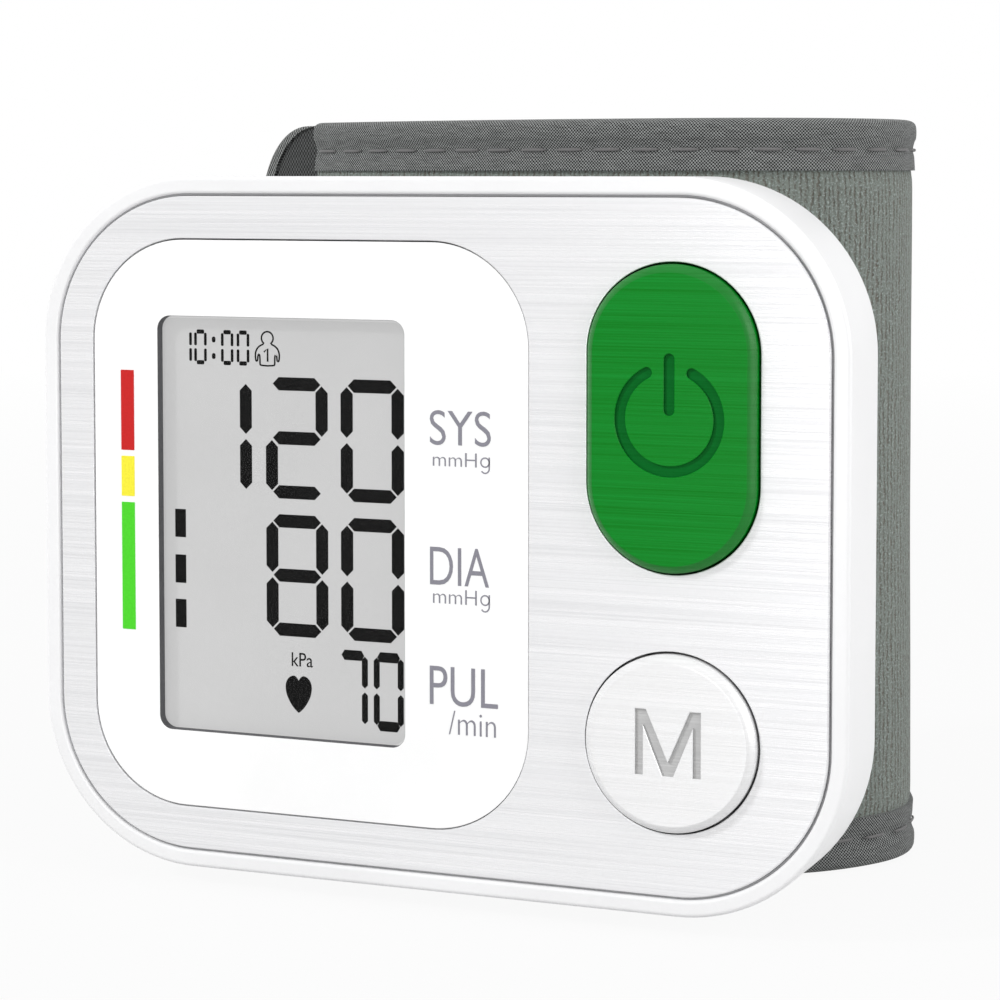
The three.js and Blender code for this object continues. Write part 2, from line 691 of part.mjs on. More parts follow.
add('fascia_plate', cut(
  prism(caseOutline(plateInset), 0, PLATE_THICK),
  through(panelHole), through(powerHole), through(memoryHole)), materials.plate);
add('display_panel', cut(
  prism(outline(panelWidth, PANEL_HEIGHT, PANEL_CORNER, panelX), 0, PANEL_THICK),
  through(viewHole)), materials.panel);
add('display_window', prism(
  outline(VIEW_WIDTH - 2 * DISPLAY_GAP, VIEW_HEIGHT - 2 * DISPLAY_GAP, VIEW_CORNER - DISPLAY_GAP, viewX),
  WINDOW_SINK, WINDOW_SINK + WINDOW_THICK), materials.window);
add('lcd_cell', prism(
  outline(lcdWidth, lcdHeight, VIEW_CORNER / 2, viewX), lcdFront, lcdBack), materials.display);
const cellRoom = outline(lcdWidth + 2 * FIT_GAP, lcdHeight + 2 * FIT_GAP, VIEW_CORNER / 2, viewX);
add('lcd_frame', cut(
  prism(outline(lcdFrameWidth, lcdFrameHeight, VIEW_CORNER, viewX), lcdFront, lcdBack + LCD_FRAME_BACK),
  prism(cellRoom, 0, lcdBack + FIT_GAP),
  through(viewHole)), materials.darkPlastic);
const stripBottom = -VIEW_HEIGHT / 2 + STRIP_MARGIN;
add('lcd_contact_strip', block(
  viewX - VIEW_WIDTH / 2 + STRIP_MARGIN, viewX + VIEW_WIDTH / 2 - STRIP_MARGIN,
  lcdBack + FIT_GAP, boardFront - FIT_GAP, stripBottom, stripBottom + STRIP_HEIGHT), materials.rubber);

// Circuit board

const boardInset = CASE_WALL + BOARD_MARGIN;
const bossRoom = BOSS_DIAMETER + 2 * FIT_GAP;
add('circuit_board', cut(
  prism(caseOutline(boardInset), boardFront, boardBack),
  ...caseScrews.map(([x, z]) => rodY(bossRoom, x, z, 0, FAR)),
  ...boardScrews.map(([x, z]) => rodY(boreDiameter, x, z, 0, FAR))), materials.board);
add('controller_chip', block(
  viewX - CHIP_SIDE / 2, viewX + CHIP_SIDE / 2, boardFront - FIT_GAP - CHIP_THICK, boardFront - FIT_GAP,
  -CHIP_SIDE / 2, CHIP_SIDE / 2), materials.darkPlastic);

// Buttons, with their engraved marks, and the switches behind them

const facePlane = -BUTTON_PROUD;
const capLevels = [...roundedEdge(facePlane, BUTTON_ROUND), [flangeBack, 0]];

// Part of a flat ring, from one angle to another.
function arcBand(inner, outer, from, to, x, z) {
  const points = [];
  for (const [radius, start, end] of [[outer, from, to], [inner, to, from]]) {
    for (let i = 0; i <= RING_SIDES / 2; i += 1) {
      const angle = rad(start + ((end - start) * i) / (RING_SIDES / 2));
      points.push(new THREE.Vector2(x + radius * Math.cos(angle), z + radius * Math.sin(angle)));
    }
  }
  return points;
}

function powerMark() {
  const inner = (POWER_RING_DIAMETER - POWER_MARK_STROKE) / 2;
  const gap = POWER_RING_OPENING / 2;
  const barZ = POWER_Z + POWER_BAR_TOP - POWER_BAR_LENGTH / 2;
  return [
    arcBand(inner, inner + POWER_MARK_STROKE, 90 + gap, 450 - gap, buttonX, POWER_Z),
    outline(POWER_MARK_STROKE, POWER_BAR_LENGTH, POWER_MARK_STROKE / 2, buttonX, barZ),
  ];
}

// A capital M: two stems and a V between them that reaches the base line.
function letterMark() {
  const [hw, hh] = [LETTER_WIDTH / 2, LETTER_HEIGHT / 2];
  const inside = hw - LETTER_STROKE;
  const right = [
    [LETTER_FOOT / 2, -hh], [inside, hh - LETTER_SHOULDER], [inside, -hh],
    [hw, -hh], [hw, hh], [hw - LETTER_FOOT, hh],
  ];
  const notch = [0, -hh + LETTER_NOTCH];
  const left = right.map(([x, z]) => [-x, z]).reverse();
  const base = MEMORY_Z + LETTER_RISE;
  return [...right, notch, ...left].map(([x, z]) => new THREE.Vector2(buttonX + x, base + z));
}

const engrave = (points) => prism(points, facePlane - OVERCUT, facePlane + MARK_DEPTH);

function powerButton() {
  const cap = tapered(POWER_WIDTH, POWER_HEIGHT, POWER_WIDTH / 2, capLevels, buttonX, POWER_Z);
  const grown = [POWER_WIDTH + 2 * BUTTON_FLANGE, POWER_HEIGHT + 2 * BUTTON_FLANGE];
  const flange = prism(outline(...grown, grown[0] / 2, buttonX, POWER_Z), flangeFront, flangeBack);
  return cut(joined(cap, flange), ...powerMark().map(engrave));
}

function memoryButton() {
  const rings = capLevels.map(([y, inset]) =>
    circle(MEMORY_DIAMETER - 2 * inset, buttonX, MEMORY_Z).map((p) => new THREE.Vector3(p.x, y, p.y)));
  const cap = loft(rings, circle(MEMORY_DIAMETER, buttonX, MEMORY_Z));
  const grown = circle(MEMORY_DIAMETER + 2 * BUTTON_FLANGE, buttonX, MEMORY_Z);
  const flange = prism(grown, flangeFront, flangeBack);
  return cut(joined(cap, flange), engrave(letterMark()));
}

add('power_button', powerButton(), materials.green);
add('memory_button', memoryButton(), materials.key);
for (const [name, z] of [['power', POWER_Z], ['memory', MEMORY_Z]]) {
  const half = SWITCH_SIDE / 2;
  add(`${name}_plunger`, rodY(
    PLUNGER_DIAMETER, buttonX, z, flangeBack + FIT_GAP, plungerBack), materials.rubber);
  add(`${name}_switch`, cut(
    block(buttonX - half, buttonX + half, switchFront, switchBack, z - half, z + half),
    rodY(PLUNGER_DIAMETER + 2 * FIT_GAP, buttonX, z, 0, FAR)), materials.darkPlastic);
}

// Batteries

const trayBack = behindBoard + TRAY_FLOOR + TRAY_DEPTH;
const trayLeft = cellLeft + FIT_GAP;
const trayRight = contactRight + FIT_GAP + TRAY_WALL;
add('battery_tray', cut(
  block(trayLeft, trayRight, behindBoard, trayBack, -trayInner - TRAY_WALL, trayInner + TRAY_WALL),
  block(-FAR, contactRight + FIT_GAP, behindBoard + TRAY_FLOOR, FAR, -trayInner, trayInner)),
materials.darkPlastic);
for (const [number, side] of [[1, 1], [2, -1]]) {
  const z = side * cellZ;
  const body = side > 0
    ? [cellLeft, cellRight - CELL_CAP_HEIGHT]
    : [cellLeft + CELL_CAP_HEIGHT, cellRight];
  add(`battery_cell_${number}`, joined(
    rodX(CELL_DIAMETER, cellY, z, ...body, RING_SIDES / 2),
    rodX(CELL_CAP_DIAMETER, cellY, z, cellLeft + (side > 0 ? CELL_CAP_HEIGHT : 0),
      cellRight - (side > 0 ? 0 : CELL_CAP_HEIGHT))), materials.cell);
  add(`battery_contact_${number}`, block(
    contactRight - CONTACT_THICK, contactRight, cellY - CONTACT_SIDE / 2, cellY + CONTACT_SIDE / 2,
    z - CONTACT_SIDE / 2, z + CONTACT_SIDE / 2), materials.metal);
}
add('battery_bridge', block(
  bridgeLeft, bridgeLeft + CONTACT_THICK, cellY - CONTACT_SIDE / 2, cellY + CONTACT_SIDE / 2,
  -cellZ - CONTACT_SIDE / 2, cellZ + CONTACT_SIDE / 2), materials.metal);

// Pump, valve and air line

const pumpBack = behindBoard + PUMP_SIDE;
const caseRight = CASE_WIDTH / 2 - flankInset(pumpBack) - CASE_WALL;
const pumpX = (trayRight + caseRight) / 2;
const motorY = behindBoard + MOTOR_DIAMETER / 2;
const headTop = MOTOR_BASE_Z - FIT_GAP;
const headBottom = headTop - PUMP_LENGTH;
add('pump_motor', rodZ(
  MOTOR_DIAMETER, pumpX, motorY, MOTOR_BASE_Z, MOTOR_BASE_Z + MOTOR_LENGTH, RING_SIDES / 2),
materials.metal);
add('pump_head', joined(
  block(pumpX - PUMP_SIDE / 2, pumpX + PUMP_SIDE / 2, behindBoard, pumpBack, headBottom, headTop),
  rodZ(NIPPLE_DIAMETER, pumpX, motorY, headBottom - NIPPLE_LENGTH, headBottom + NIPPLE_LENGTH)),
materials.darkPlastic);

const sensorBack = behindBoard + SENSOR_THICK;
const teeFront = sensorBack + NIPPLE_LENGTH + FIT_GAP;
const teeBack = teeFront + TEE_DEPTH;
const airY = (teeFront + teeBack) / 2;
const teeLeft = airX - TEE_SIDE / 2;
const teeRight = airX + TEE_SIDE / 2;
add('pressure_sensor', joined(
  block(airX - SENSOR_SIDE / 2, airX + SENSOR_SIDE / 2, behindBoard, sensorBack,
    airZ - SENSOR_SIDE / 2, airZ + SENSOR_SIDE / 2),
  rodY(NIPPLE_DIAMETER, airX, airZ, sensorBack - FIT_GAP, sensorBack + NIPPLE_LENGTH)),
materials.darkPlastic);
add('air_tee', joined(
  block(teeLeft, teeRight, teeFront, teeBack, airZ - TEE_SIDE / 2, airZ + TEE_SIDE / 2),
  rodX(NIPPLE_DIAMETER, airY, airZ, teeLeft - NIPPLE_LENGTH, teeRight + NIPPLE_LENGTH)),
materials.stiffener);

const hoseLeft = teeLeft - NIPPLE_LENGTH - FIT_GAP;
const valveTip = hoseLeft - VALVE_HOSE_LENGTH - FIT_GAP;
const valveRight = valveTip - NIPPLE_LENGTH;
const valveLeft = valveRight - VALVE_LENGTH;
add('exhaust_valve', joined(
  rodX(VALVE_DIAMETER, airY, airZ, valveLeft, valveRight),
  rodX(NIPPLE_DIAMETER, airY, airZ, valveLeft + NIPPLE_LENGTH, valveTip),
  block(valveLeft + VALVE_FOOT, valveRight - VALVE_FOOT, behindBoard, airY,
    airZ - VALVE_FOOT, airZ + VALVE_FOOT)), materials.darkPlastic);

// A soft tube along a smooth curve through a few points.
function hose(points) {
  const path = new THREE.CatmullRomCurve3(points.map((p) => new THREE.Vector3(...p)));
  const section = new THREE.Shape(circle(HOSE_DIAMETER, 0, 0, HOSE_SIDES));
  return solid(new THREE.ExtrudeGeometry(section, { steps: HOSE_STEPS, extrudePath: path }));
}

const pumpPort = headBottom - NIPPLE_LENGTH - FIT_GAP;
const hoseStart = teeRight + NIPPLE_LENGTH + FIT_GAP;
add('valve_hose', hose([
  [hoseLeft, airY, airZ], [hoseLeft - VALVE_HOSE_LENGTH, airY, airZ]]), materials.rubber);
add('pump_hose', hose([
  [hoseStart, airY, airZ],
  [hoseStart + HOSE_DIAMETER / 2, airY, airZ],
  [pumpX - HOSE_DIAMETER / 2, (airY + motorY) / 2, airZ + HOSE_DIAMETER / 2],
  [pumpX, motorY, pumpPort - HOSE_DIAMETER / 2],
  [pumpX, motorY, pumpPort]]), materials.rubber);

const stemReach = nearFace(airX) - teeBack - FIT_GAP;
add('cuff_connector', joined(
  peg(CONNECTOR_DIAMETER, airX, airZ, caseSkin - CONNECTOR_FLANGE_THICK / 2, bladderFront - LAYER_GAP),
  peg(CONNECTOR_FLANGE, airX, airZ, caseSkin - CONNECTOR_FLANGE_THICK, caseSkin),
  peg(NIPPLE_DIAMETER, airX, airZ, -stemReach, caseSkin)), materials.stiffener);

// Cuff: the near half, which the case carries

const bagStart = TAB_TUCK + FIT_GAP;
add('cuff_cover', cut(
  strip(0, nearEnd, flat(0, COVER_THICK, layerBottom, layerTop)), ...pegHoles), materials.cover);
add('cuff_stiffener', cut(
  strip(bagStart, nearEnd, flat(stiffenerFront, stiffenerBack, layerBottom, layerTop)),
  ...pegHoles,
  ...rivets.map(([x, z]) => peg(
    RIVET_HEAD_DIAMETER + 2 * FIT_GAP, x, z, stiffenerBack - RIVET_HEAD_HEIGHT - FIT_GAP, bladderBack))),
materials.stiffener);
add('cuff_bladder', strip(bagStart, nearEnd - BLADDER_END, flat(
  bladderFront, bladderBack, layerBottom + BLADDER_MARGIN, layerTop - BLADDER_MARGIN)), materials.rubber);
add('cuff_lining', strip(0, nearEnd, flat(liningFront, bandThick, layerBottom, layerTop)), materials.lining);
add('cuff_binding_top', strip(0, nearEnd, bindingSection(cuffTop, -1)), materials.binding);
add('cuff_binding_bottom', strip(0, nearEnd, bindingSection(cuffBottom, 1)), materials.binding);
rivets.forEach(([x, z], i) => {
  const collar = caseSkin - RIVET_COLLAR_HEIGHT;
  add(`cuff_rivet_${i + 1}`, joined(
    peg(RIVET_DIAMETER, x, z, collar + RIVET_COLLAR_HEIGHT / 2, stiffenerBack - RIVET_HEAD_HEIGHT / 2),
    peg(RIVET_COLLAR_DIAMETER, x, z, collar, caseSkin),
    peg(RIVET_HEAD_DIAMETER, x, z, stiffenerBack - RIVET_HEAD_HEIGHT, stiffenerBack)), materials.metal);
});

// The tab that reaches out from under the near end, with rounded corners.
function cuffTab() {
  const insetAt = (length) => {
    const short = Math.max(0, TAB_CORNER - (length + TAB_REACH));
    return TAB_CORNER - Math.sqrt(Math.max(0, TAB_CORNER ** 2 - short ** 2));
  };
  const turns = [];
  for (let i = 1; i <= CORNER_STEPS; i += 1) {
    turns.push(-TAB_REACH + TAB_CORNER * (1 - Math.cos(rad((90 * i) / CORNER_STEPS))));
  }
  const section = (length) => flat(
    stiffenerFront, stiffenerFront + TAB_THICK, layerBottom + insetAt(length), layerTop - insetAt(length))();
  return strip(-TAB_REACH, TAB_TUCK, section, turns);
}

add('cuff_tab', cuffTab(), materials.binding);

// Cuff: the far arm, which springs open

add('flap_cover', strip(flapStart, runEnd, flat(0, COVER_THICK, layerBottom, layerTop)), materials.cover);
add('flap_stiffener', strip(flapStart, runEnd - HOOK_MARGIN, flat(
  stiffenerFront, stiffenerBack, layerBottom, layerTop)), materials.stiffener);
add('flap_lining', strip(
  flapStart, runEnd, flat(bladderFront, bandThick, layerBottom, layerTop)), materials.lining);
add('flap_binding_top', strip(flapStart, runEnd, bindingSection(cuffTop, -1)), materials.binding);
add('flap_binding_bottom', strip(flapStart, runEnd, bindingSection(cuffBottom, 1)), materials.binding);
add('hook_patch', strip(runEnd - HOOK_MARGIN - HOOK_LENGTH, runEnd - HOOK_MARGIN, flat(
  bandThick + LAYER_GAP, bandThick + LAYER_GAP + HOOK_THICK,
  cuffBottom + BINDING_WIDTH + HOOK_MARGIN, cuffTop - BINDING_WIDTH - HOOK_MARGIN)), materials.hook);

// The part stands on the cuff's lower edge, with the origin under the middle of its length.
const loopBack = Math.max(...run.map((stop) => stop.at.y)) + BINDING_GAP + BINDING_THICK;
device.position.set(0, -(facePlane + loopBack) / 2, -cuffBottom);

export default part;
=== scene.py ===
"""Looks of a wrist blood pressure monitor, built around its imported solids."""
import logging
import math
from collections.abc import Callable, Iterable, Sequence
from dataclasses import dataclass, field
from enum import Enum

import bmesh
import bpy
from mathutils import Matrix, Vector
from mathutils.geometry import tessellate_polygon


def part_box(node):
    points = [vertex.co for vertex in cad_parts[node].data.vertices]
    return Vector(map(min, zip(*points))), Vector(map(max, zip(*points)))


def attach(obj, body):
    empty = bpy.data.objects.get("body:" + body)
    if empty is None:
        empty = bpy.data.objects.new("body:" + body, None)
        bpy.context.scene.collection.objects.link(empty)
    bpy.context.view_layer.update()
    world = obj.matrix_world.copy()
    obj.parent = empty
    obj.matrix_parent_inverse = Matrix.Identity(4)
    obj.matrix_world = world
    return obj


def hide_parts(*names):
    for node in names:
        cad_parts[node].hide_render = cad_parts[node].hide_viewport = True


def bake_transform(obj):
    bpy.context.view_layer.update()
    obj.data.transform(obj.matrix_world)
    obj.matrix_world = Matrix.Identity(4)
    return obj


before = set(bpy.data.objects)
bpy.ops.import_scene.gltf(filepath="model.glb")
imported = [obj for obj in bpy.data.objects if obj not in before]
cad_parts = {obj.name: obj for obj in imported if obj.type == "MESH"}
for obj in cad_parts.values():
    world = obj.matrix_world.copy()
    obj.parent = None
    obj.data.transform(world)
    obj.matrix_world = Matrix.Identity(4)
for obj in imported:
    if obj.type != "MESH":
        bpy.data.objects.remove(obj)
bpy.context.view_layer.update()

LOG = logging.getLogger("wrist_monitor")
MM = 0.001
PER_METRE = 1000.0
FULL_TURN = 2 * math.pi
CLOTH_MAP = "cloth"
GUARD = 0.06  # a narrow flat strip beside an edge, which keeps the shading of the face even

Pair = tuple[float, float]
Triple = tuple[float, float, float]
Colour = tuple[float, float, float]
Socket = bpy.types.NodeSocket
Tree = bpy.types.NodeTree
Node = bpy.types.Node
Material = bpy.types.Material
Piece = bpy.types.Object


class Body(Enum):
    """The bodies that new pieces ride on."""

    CASE = "case"
    POWER_KEY = "power_key"
    MEMORY_KEY = "memory_key"
    ARM = "cuff_arm"


class End(Enum):
    """The two bound edges of the cuff, with the way from the edge into the cloth."""

    TOP = -1
    BOTTOM = 1


@dataclass(frozen=True)
class FaceFrame:
    """The middle of the case's front face, from which pieces are measured in millimetres."""

    x: float
    y: float
    z: float

    @classmethod
    def of_node(cls, node: str) -> "FaceFrame":
        """Finds the frame from the box of the front cover.

        Args:
            node: name of the solid whose front is the face.

        Returns:
            The frame at the middle of that front.
        """
        low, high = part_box(node)
        return cls((low.x + high.x) / 2, low.y, (low.z + high.z) / 2)

    def at(self, x: float, y: float, z: float) -> Vector:
        """Turns millimetres from the face into metres of the row frame."""
        return Vector((self.x + x * MM, self.y + y * MM, self.z + z * MM))


FACE = FaceFrame.of_node("front_cover")


# Outlines in the plane of the face


@dataclass(frozen=True)
class Outline:
    """A rounded rectangle, an oval or a circle in the plane of the face."""

    width: float
    height: float
    corner: float
    x: float = 0.0
    z: float = 0.0
    steps: int = 22

    def ring(self, grow: float = 0.0) -> list[Pair]:
        """Walks round the outline.

        Args:
            grow: how far the outline is pushed outwards.

        Returns:
            Its points, with none repeated.
        """
        half_w, half_h = self.width / 2 + grow, self.height / 2 + grow
        radius = min(max(self.corner + grow, 0.02), half_w, half_h)
        points: list[Pair] = []
        for quarter, (sx, sz) in enumerate(((1, 1), (-1, 1), (-1, -1), (1, -1))):
            for i in range(self.steps + 1):
                angle = math.radians(90 * (quarter + i / self.steps))
                point = (
                    self.x + sx * (half_w - radius) + radius * math.cos(angle),
                    self.z + sz * (half_h - radius) + radius * math.sin(angle),
                )
                if not points or math.dist(point, points[-1]) > 1e-6:
                    points.append(point)
        if math.dist(points[0], points[-1]) < 1e-6:
            points.pop()
        return points

    def grown(self, by: float) -> "Outline":
        """The outline of a hole that clears this one by a gap."""
        return Outline(self.width + 2 * by, self.height + 2 * by, self.corner + by, self.x, self.z)


@dataclass(frozen=True)
class ArcStroke:
    """A stroke of even width along an arc, with round ends."""

    x: float
    z: float
    radius: float
    half: float
    start: float
    end: float
    steps: int = 56
    end_steps: int = 8

    def ring(self, grow: float = 0.0) -> list[Pair]:
        """Walks round the stroke.

        Args:
            grow: how far its sides are pushed outwards.

        Returns:
            Its points, with none repeated.
        """
        half = self.half + grow
        spots: list[tuple[float, float, float, float]] = []
        for start, end, side in ((self.start, self.end, 1), (self.end, self.start, -1)):
            for i in range(self.steps + 1):
                angle = start + (end - start) * i / self.steps
                spots.append((angle, self.radius + side * half, 0.0, 0.0))
            for i in range(1, self.end_steps):
                turn = 180 * i / self.end_steps + (0 if side > 0 else 180)
                spots.append((end, self.radius, half, end + turn))
        points: list[Pair] = []
        for angle, radius, off, heading in spots:
            a, b = math.radians(angle), math.radians(heading)
            points.append((
                self.x + radius * math.cos(a) + off * math.cos(b),
                self.z + radius * math.sin(a) + off * math.sin(b),
            ))
        return points


@dataclass(frozen=True)
class Corners:
    """An outline with plain corners, given anticlockwise."""

    points: tuple[Pair, ...]

    def ring(self, grow: float = 0.0) -> list[Pair]:
        """Walks round the corners.

        Args:
            grow: how far its sides are pushed outwards.

        Returns:
            Its points, with none repeated.
        """
        moved: list[Pair] = []
        count = len(self.points)
        for i, (x, z) in enumerate(self.points):
            before, after = self.points[i - 1], self.points[(i + 1) % count]
            ax, az = self._normal(before, (x, z))
            bx, bz = self._normal((x, z), after)
            share = 1 + ax * bx + az * bz
            moved.append((x + grow * (ax + bx) / share, z + grow * (az + bz) / share))
        return moved

    @staticmethod
    def _normal(a: Pair, b: Pair) -> Pair:
        """The outward normal of the side from a to b."""
        length = math.dist(a, b)
        return (b[1] - a[1]) / length, (a[0] - b[0]) / length


@dataclass(frozen=True)
class LineStroke:
    """A stroke of even width along a line of points."""

    points: tuple[Pair, ...]
    half: float

    def ring(self, grow: float = 0.0) -> list[Pair]:
        """Walks round the stroke.

        Args:
            grow: how far its sides are pushed outwards.

        Returns:
            Its points, with none repeated.
        """
        half, count = self.half + grow, len(self.points)
        sides: tuple[list[Pair], list[Pair]] = ([], [])
        for i, (x, z) in enumerate(self.points):
            before, after = self.points[max(i - 1, 0)], self.points[min(i + 1, count - 1)]
            run = math.dist(before, after)
            nx, nz = (after[1] - before[1]) / run, (before[0] - after[0]) / run
            sides[0].append((x + nx * half, z + nz * half))
            sides[1].append((x - nx * half, z - nz * half))
        return [*sides[0], *reversed(sides[1])]


AnyOutline = Outline | ArcStroke | Corners | LineStroke
POWER_LINE = Outline(15.7, 27.2, 7.85, 23.85, 11.56, 32)
MEMORY_LINE = Outline(15.9, 15.9, 7.95, 23.85, -17.2, 32)


def eased_edge(front: float, radius: float, steps: int = 6) -> list[Pair]:
    """Depth and inset along an edge that is rounded from a front plane to a side.

    Args:
        front: depth of the front plane.
        radius: radius of the edge.
        steps: facets of the rounding.

    Returns:
        Pairs of depth and inset, from the front to the side.
    """
    levels = [(front, radius + GUARD)]
    for i in range(steps + 1):
        angle = math.pi / 2 * i / steps
        levels.append((front + radius * (1 - math.cos(angle)), radius * (1 - math.sin(angle))))
    return levels


def smooth_line(knots: Sequence[Pair], steps: int) -> list[Pair]:
    """Draws a smooth line through knots.

    Args:
        knots: points that the line passes.
        steps: parts into which each span is divided.

    Returns:
        The points of the line, both ends among them.
    """
    padded = [knots[0], *knots, knots[-1]]
    line: list[Pair] = []
    for a, b, c, d in zip(padded, padded[1:], padded[2:], padded[3:]):
        for i in range(steps):
            t = i / steps
            line.append(tuple(
                0.5 * (2 * q + (r - p) * t + (2 * p - 5 * q + 4 * r - s) * t * t
                       + (3 * q - p - 3 * r + s) * t ** 3)
                for p, q, r, s in zip(a, b, c, d)
            ))
    line.append(tuple(knots[-1]))
    return line


# Meshes


class Form:
    """The points and faces of one piece, in millimetres from the face of the case."""

    def __init__(self) -> None:
        """Starts an empty form."""
        self.points: list[Triple] = []
        self.cloth: list[Pair] = []
        self.faces: list[tuple[int, ...]] = []
        self.finish_of: list[int] = []

    def ring(self, points: Iterable[Triple], cloth: Iterable[Pair] | None = None) -> list[int]:
        """Adds points.

        Args:
            points: places of the points.
            cloth: where each lies on the flat cloth, for woven finishes.

        Returns:
            Their numbers.
        """
        start = len(self.points)
        self.points.extend(points)
        if cloth is not None:
            self.cloth.extend(cloth)
        return list(range(start, len(self.points)))

    def level(self, outline: AnyOutline, y: float, grow: float = 0.0) -> list[int]:
        """Adds an outline at a depth, and returns the numbers of its points."""
        return self.ring((x, y, z) for x, z in outline.ring(grow))

    def skin(self, first: Sequence[int], second: Sequence[int], finish: int = 0) -> None:
        """Joins two rings of equal count by a strip of faces.

        Args:
            first: numbers of one ring.
            second: numbers of the other.
            finish: place of the finish in the piece's list.
        """
        for i in range(len(first)):
            j = (i + 1) % len(first)
            self.faces.append((first[i], first[j], second[j], second[i]))
            self.finish_of.append(finish)

    def cap(self, rings: Sequence[Sequence[int]], finish: int = 0) -> None:
        """Fills an outline flat, around any holes.

        Args:
            rings: the outline, then the holes.
            finish: place of the finish in the piece's list.
        """
        numbers = [number for ring in rings for number in ring]
        loops = [[Vector(self.points[number]) for number in ring] for ring in rings]
        for a, b, c in tessellate_polygon(loops):
            self.faces.append((numbers[a], numbers[b], numbers[c]))
            self.finish_of.append(finish)

    def walls(self, outline: AnyOutline, levels: Sequence[Pair], sign: int,
              finishes: Sequence[int]) -> tuple[list[int], list[int]]:
        """Runs a wall along an outline through depths.

        Args:
            outline: line that the wall follows.
            levels: pairs of depth and inset.
            sign: -1 for the outside of a piece, 1 for a hole in it.
            finishes: finish of each strip of the wall, the last one repeated.

        Returns:
            The first ring and the last one.
        """
        rings = [self.level(outline, y, sign * inset) for y, inset in levels]
        for i, (first, second) in enumerate(zip(rings, rings[1:])):
            self.skin(first, second, finishes[min(i, len(finishes) - 1)])
        return rings[0], rings[-1]

    def loft(self, rings: Sequence[Sequence[int]], finish: int = 0) -> None:
        """Skins a row of rings and closes both ends.

        Args:
            rings: numbers of each ring, in order.
            finish: place of the finish in the piece's list.
        """
        for first, second in zip(rings, rings[1:]):
            self.skin(first, second, finish)
        self.cap([rings[0]], finish)
        self.cap([rings[-1]], finish)

    def slab(self, outline: AnyOutline, front: float, back: float, finish: int = 0) -> None:
        """Adds a thin plain slab between two depths."""
        self.loft([self.level(outline, front), self.level(outline, back)], finish)

    def build(self, name: str, *finishes: "Finish", sharp: float = 35.0) -> Piece:
        """Makes the piece.

        Args:
            name: name of the piece.
            *finishes: its finishes, in the order that the faces name them.
            sharp: angle in degrees from which an edge stays crisp.

        Returns:
            The new object, in place.
        """
        mesh = bpy.data.meshes.new(name)
        mesh.from_pydata([FACE.at(*point) for point in self.points], [], self.faces)
        for finish in finishes:
            mesh.materials.append(finish.material())
        mesh.polygons.foreach_set("material_index", self.finish_of)
        if self.cloth:
            layer = mesh.uv_layers.new(name=CLOTH_MAP)
            for loop in mesh.loops:
                layer.data[loop.index].uv = self.cloth[loop.vertex_index]
        work = bmesh.new()
        work.from_mesh(mesh)
        bmesh.ops.remove_doubles(work, verts=work.verts, dist=1e-8)
        bmesh.ops.recalc_face_normals(work, faces=work.faces)
        work.to_mesh(mesh)
        work.free()
        mesh.shade_smooth()
        mesh.set_sharp_from_angle(angle=math.radians(sharp))
        piece = bpy.data.objects.new(name, mesh)
        bpy.context.scene.collection.objects.link(piece)
        return piece


def seat(piece: Piece, body: Body, slot: str, *nodes: str) -> None:
    """Sets a rigid piece on its body.

    Args:
        piece: the new piece.
        body: body that it moves with.
        slot: the record's material slot of its finish; not used.
        nodes: solids that it stands for.
    """
    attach(piece, body.value)
    if nodes:
        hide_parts(*nodes)
    LOG.info("%s on %s", piece.name, body.value)


# Node trees


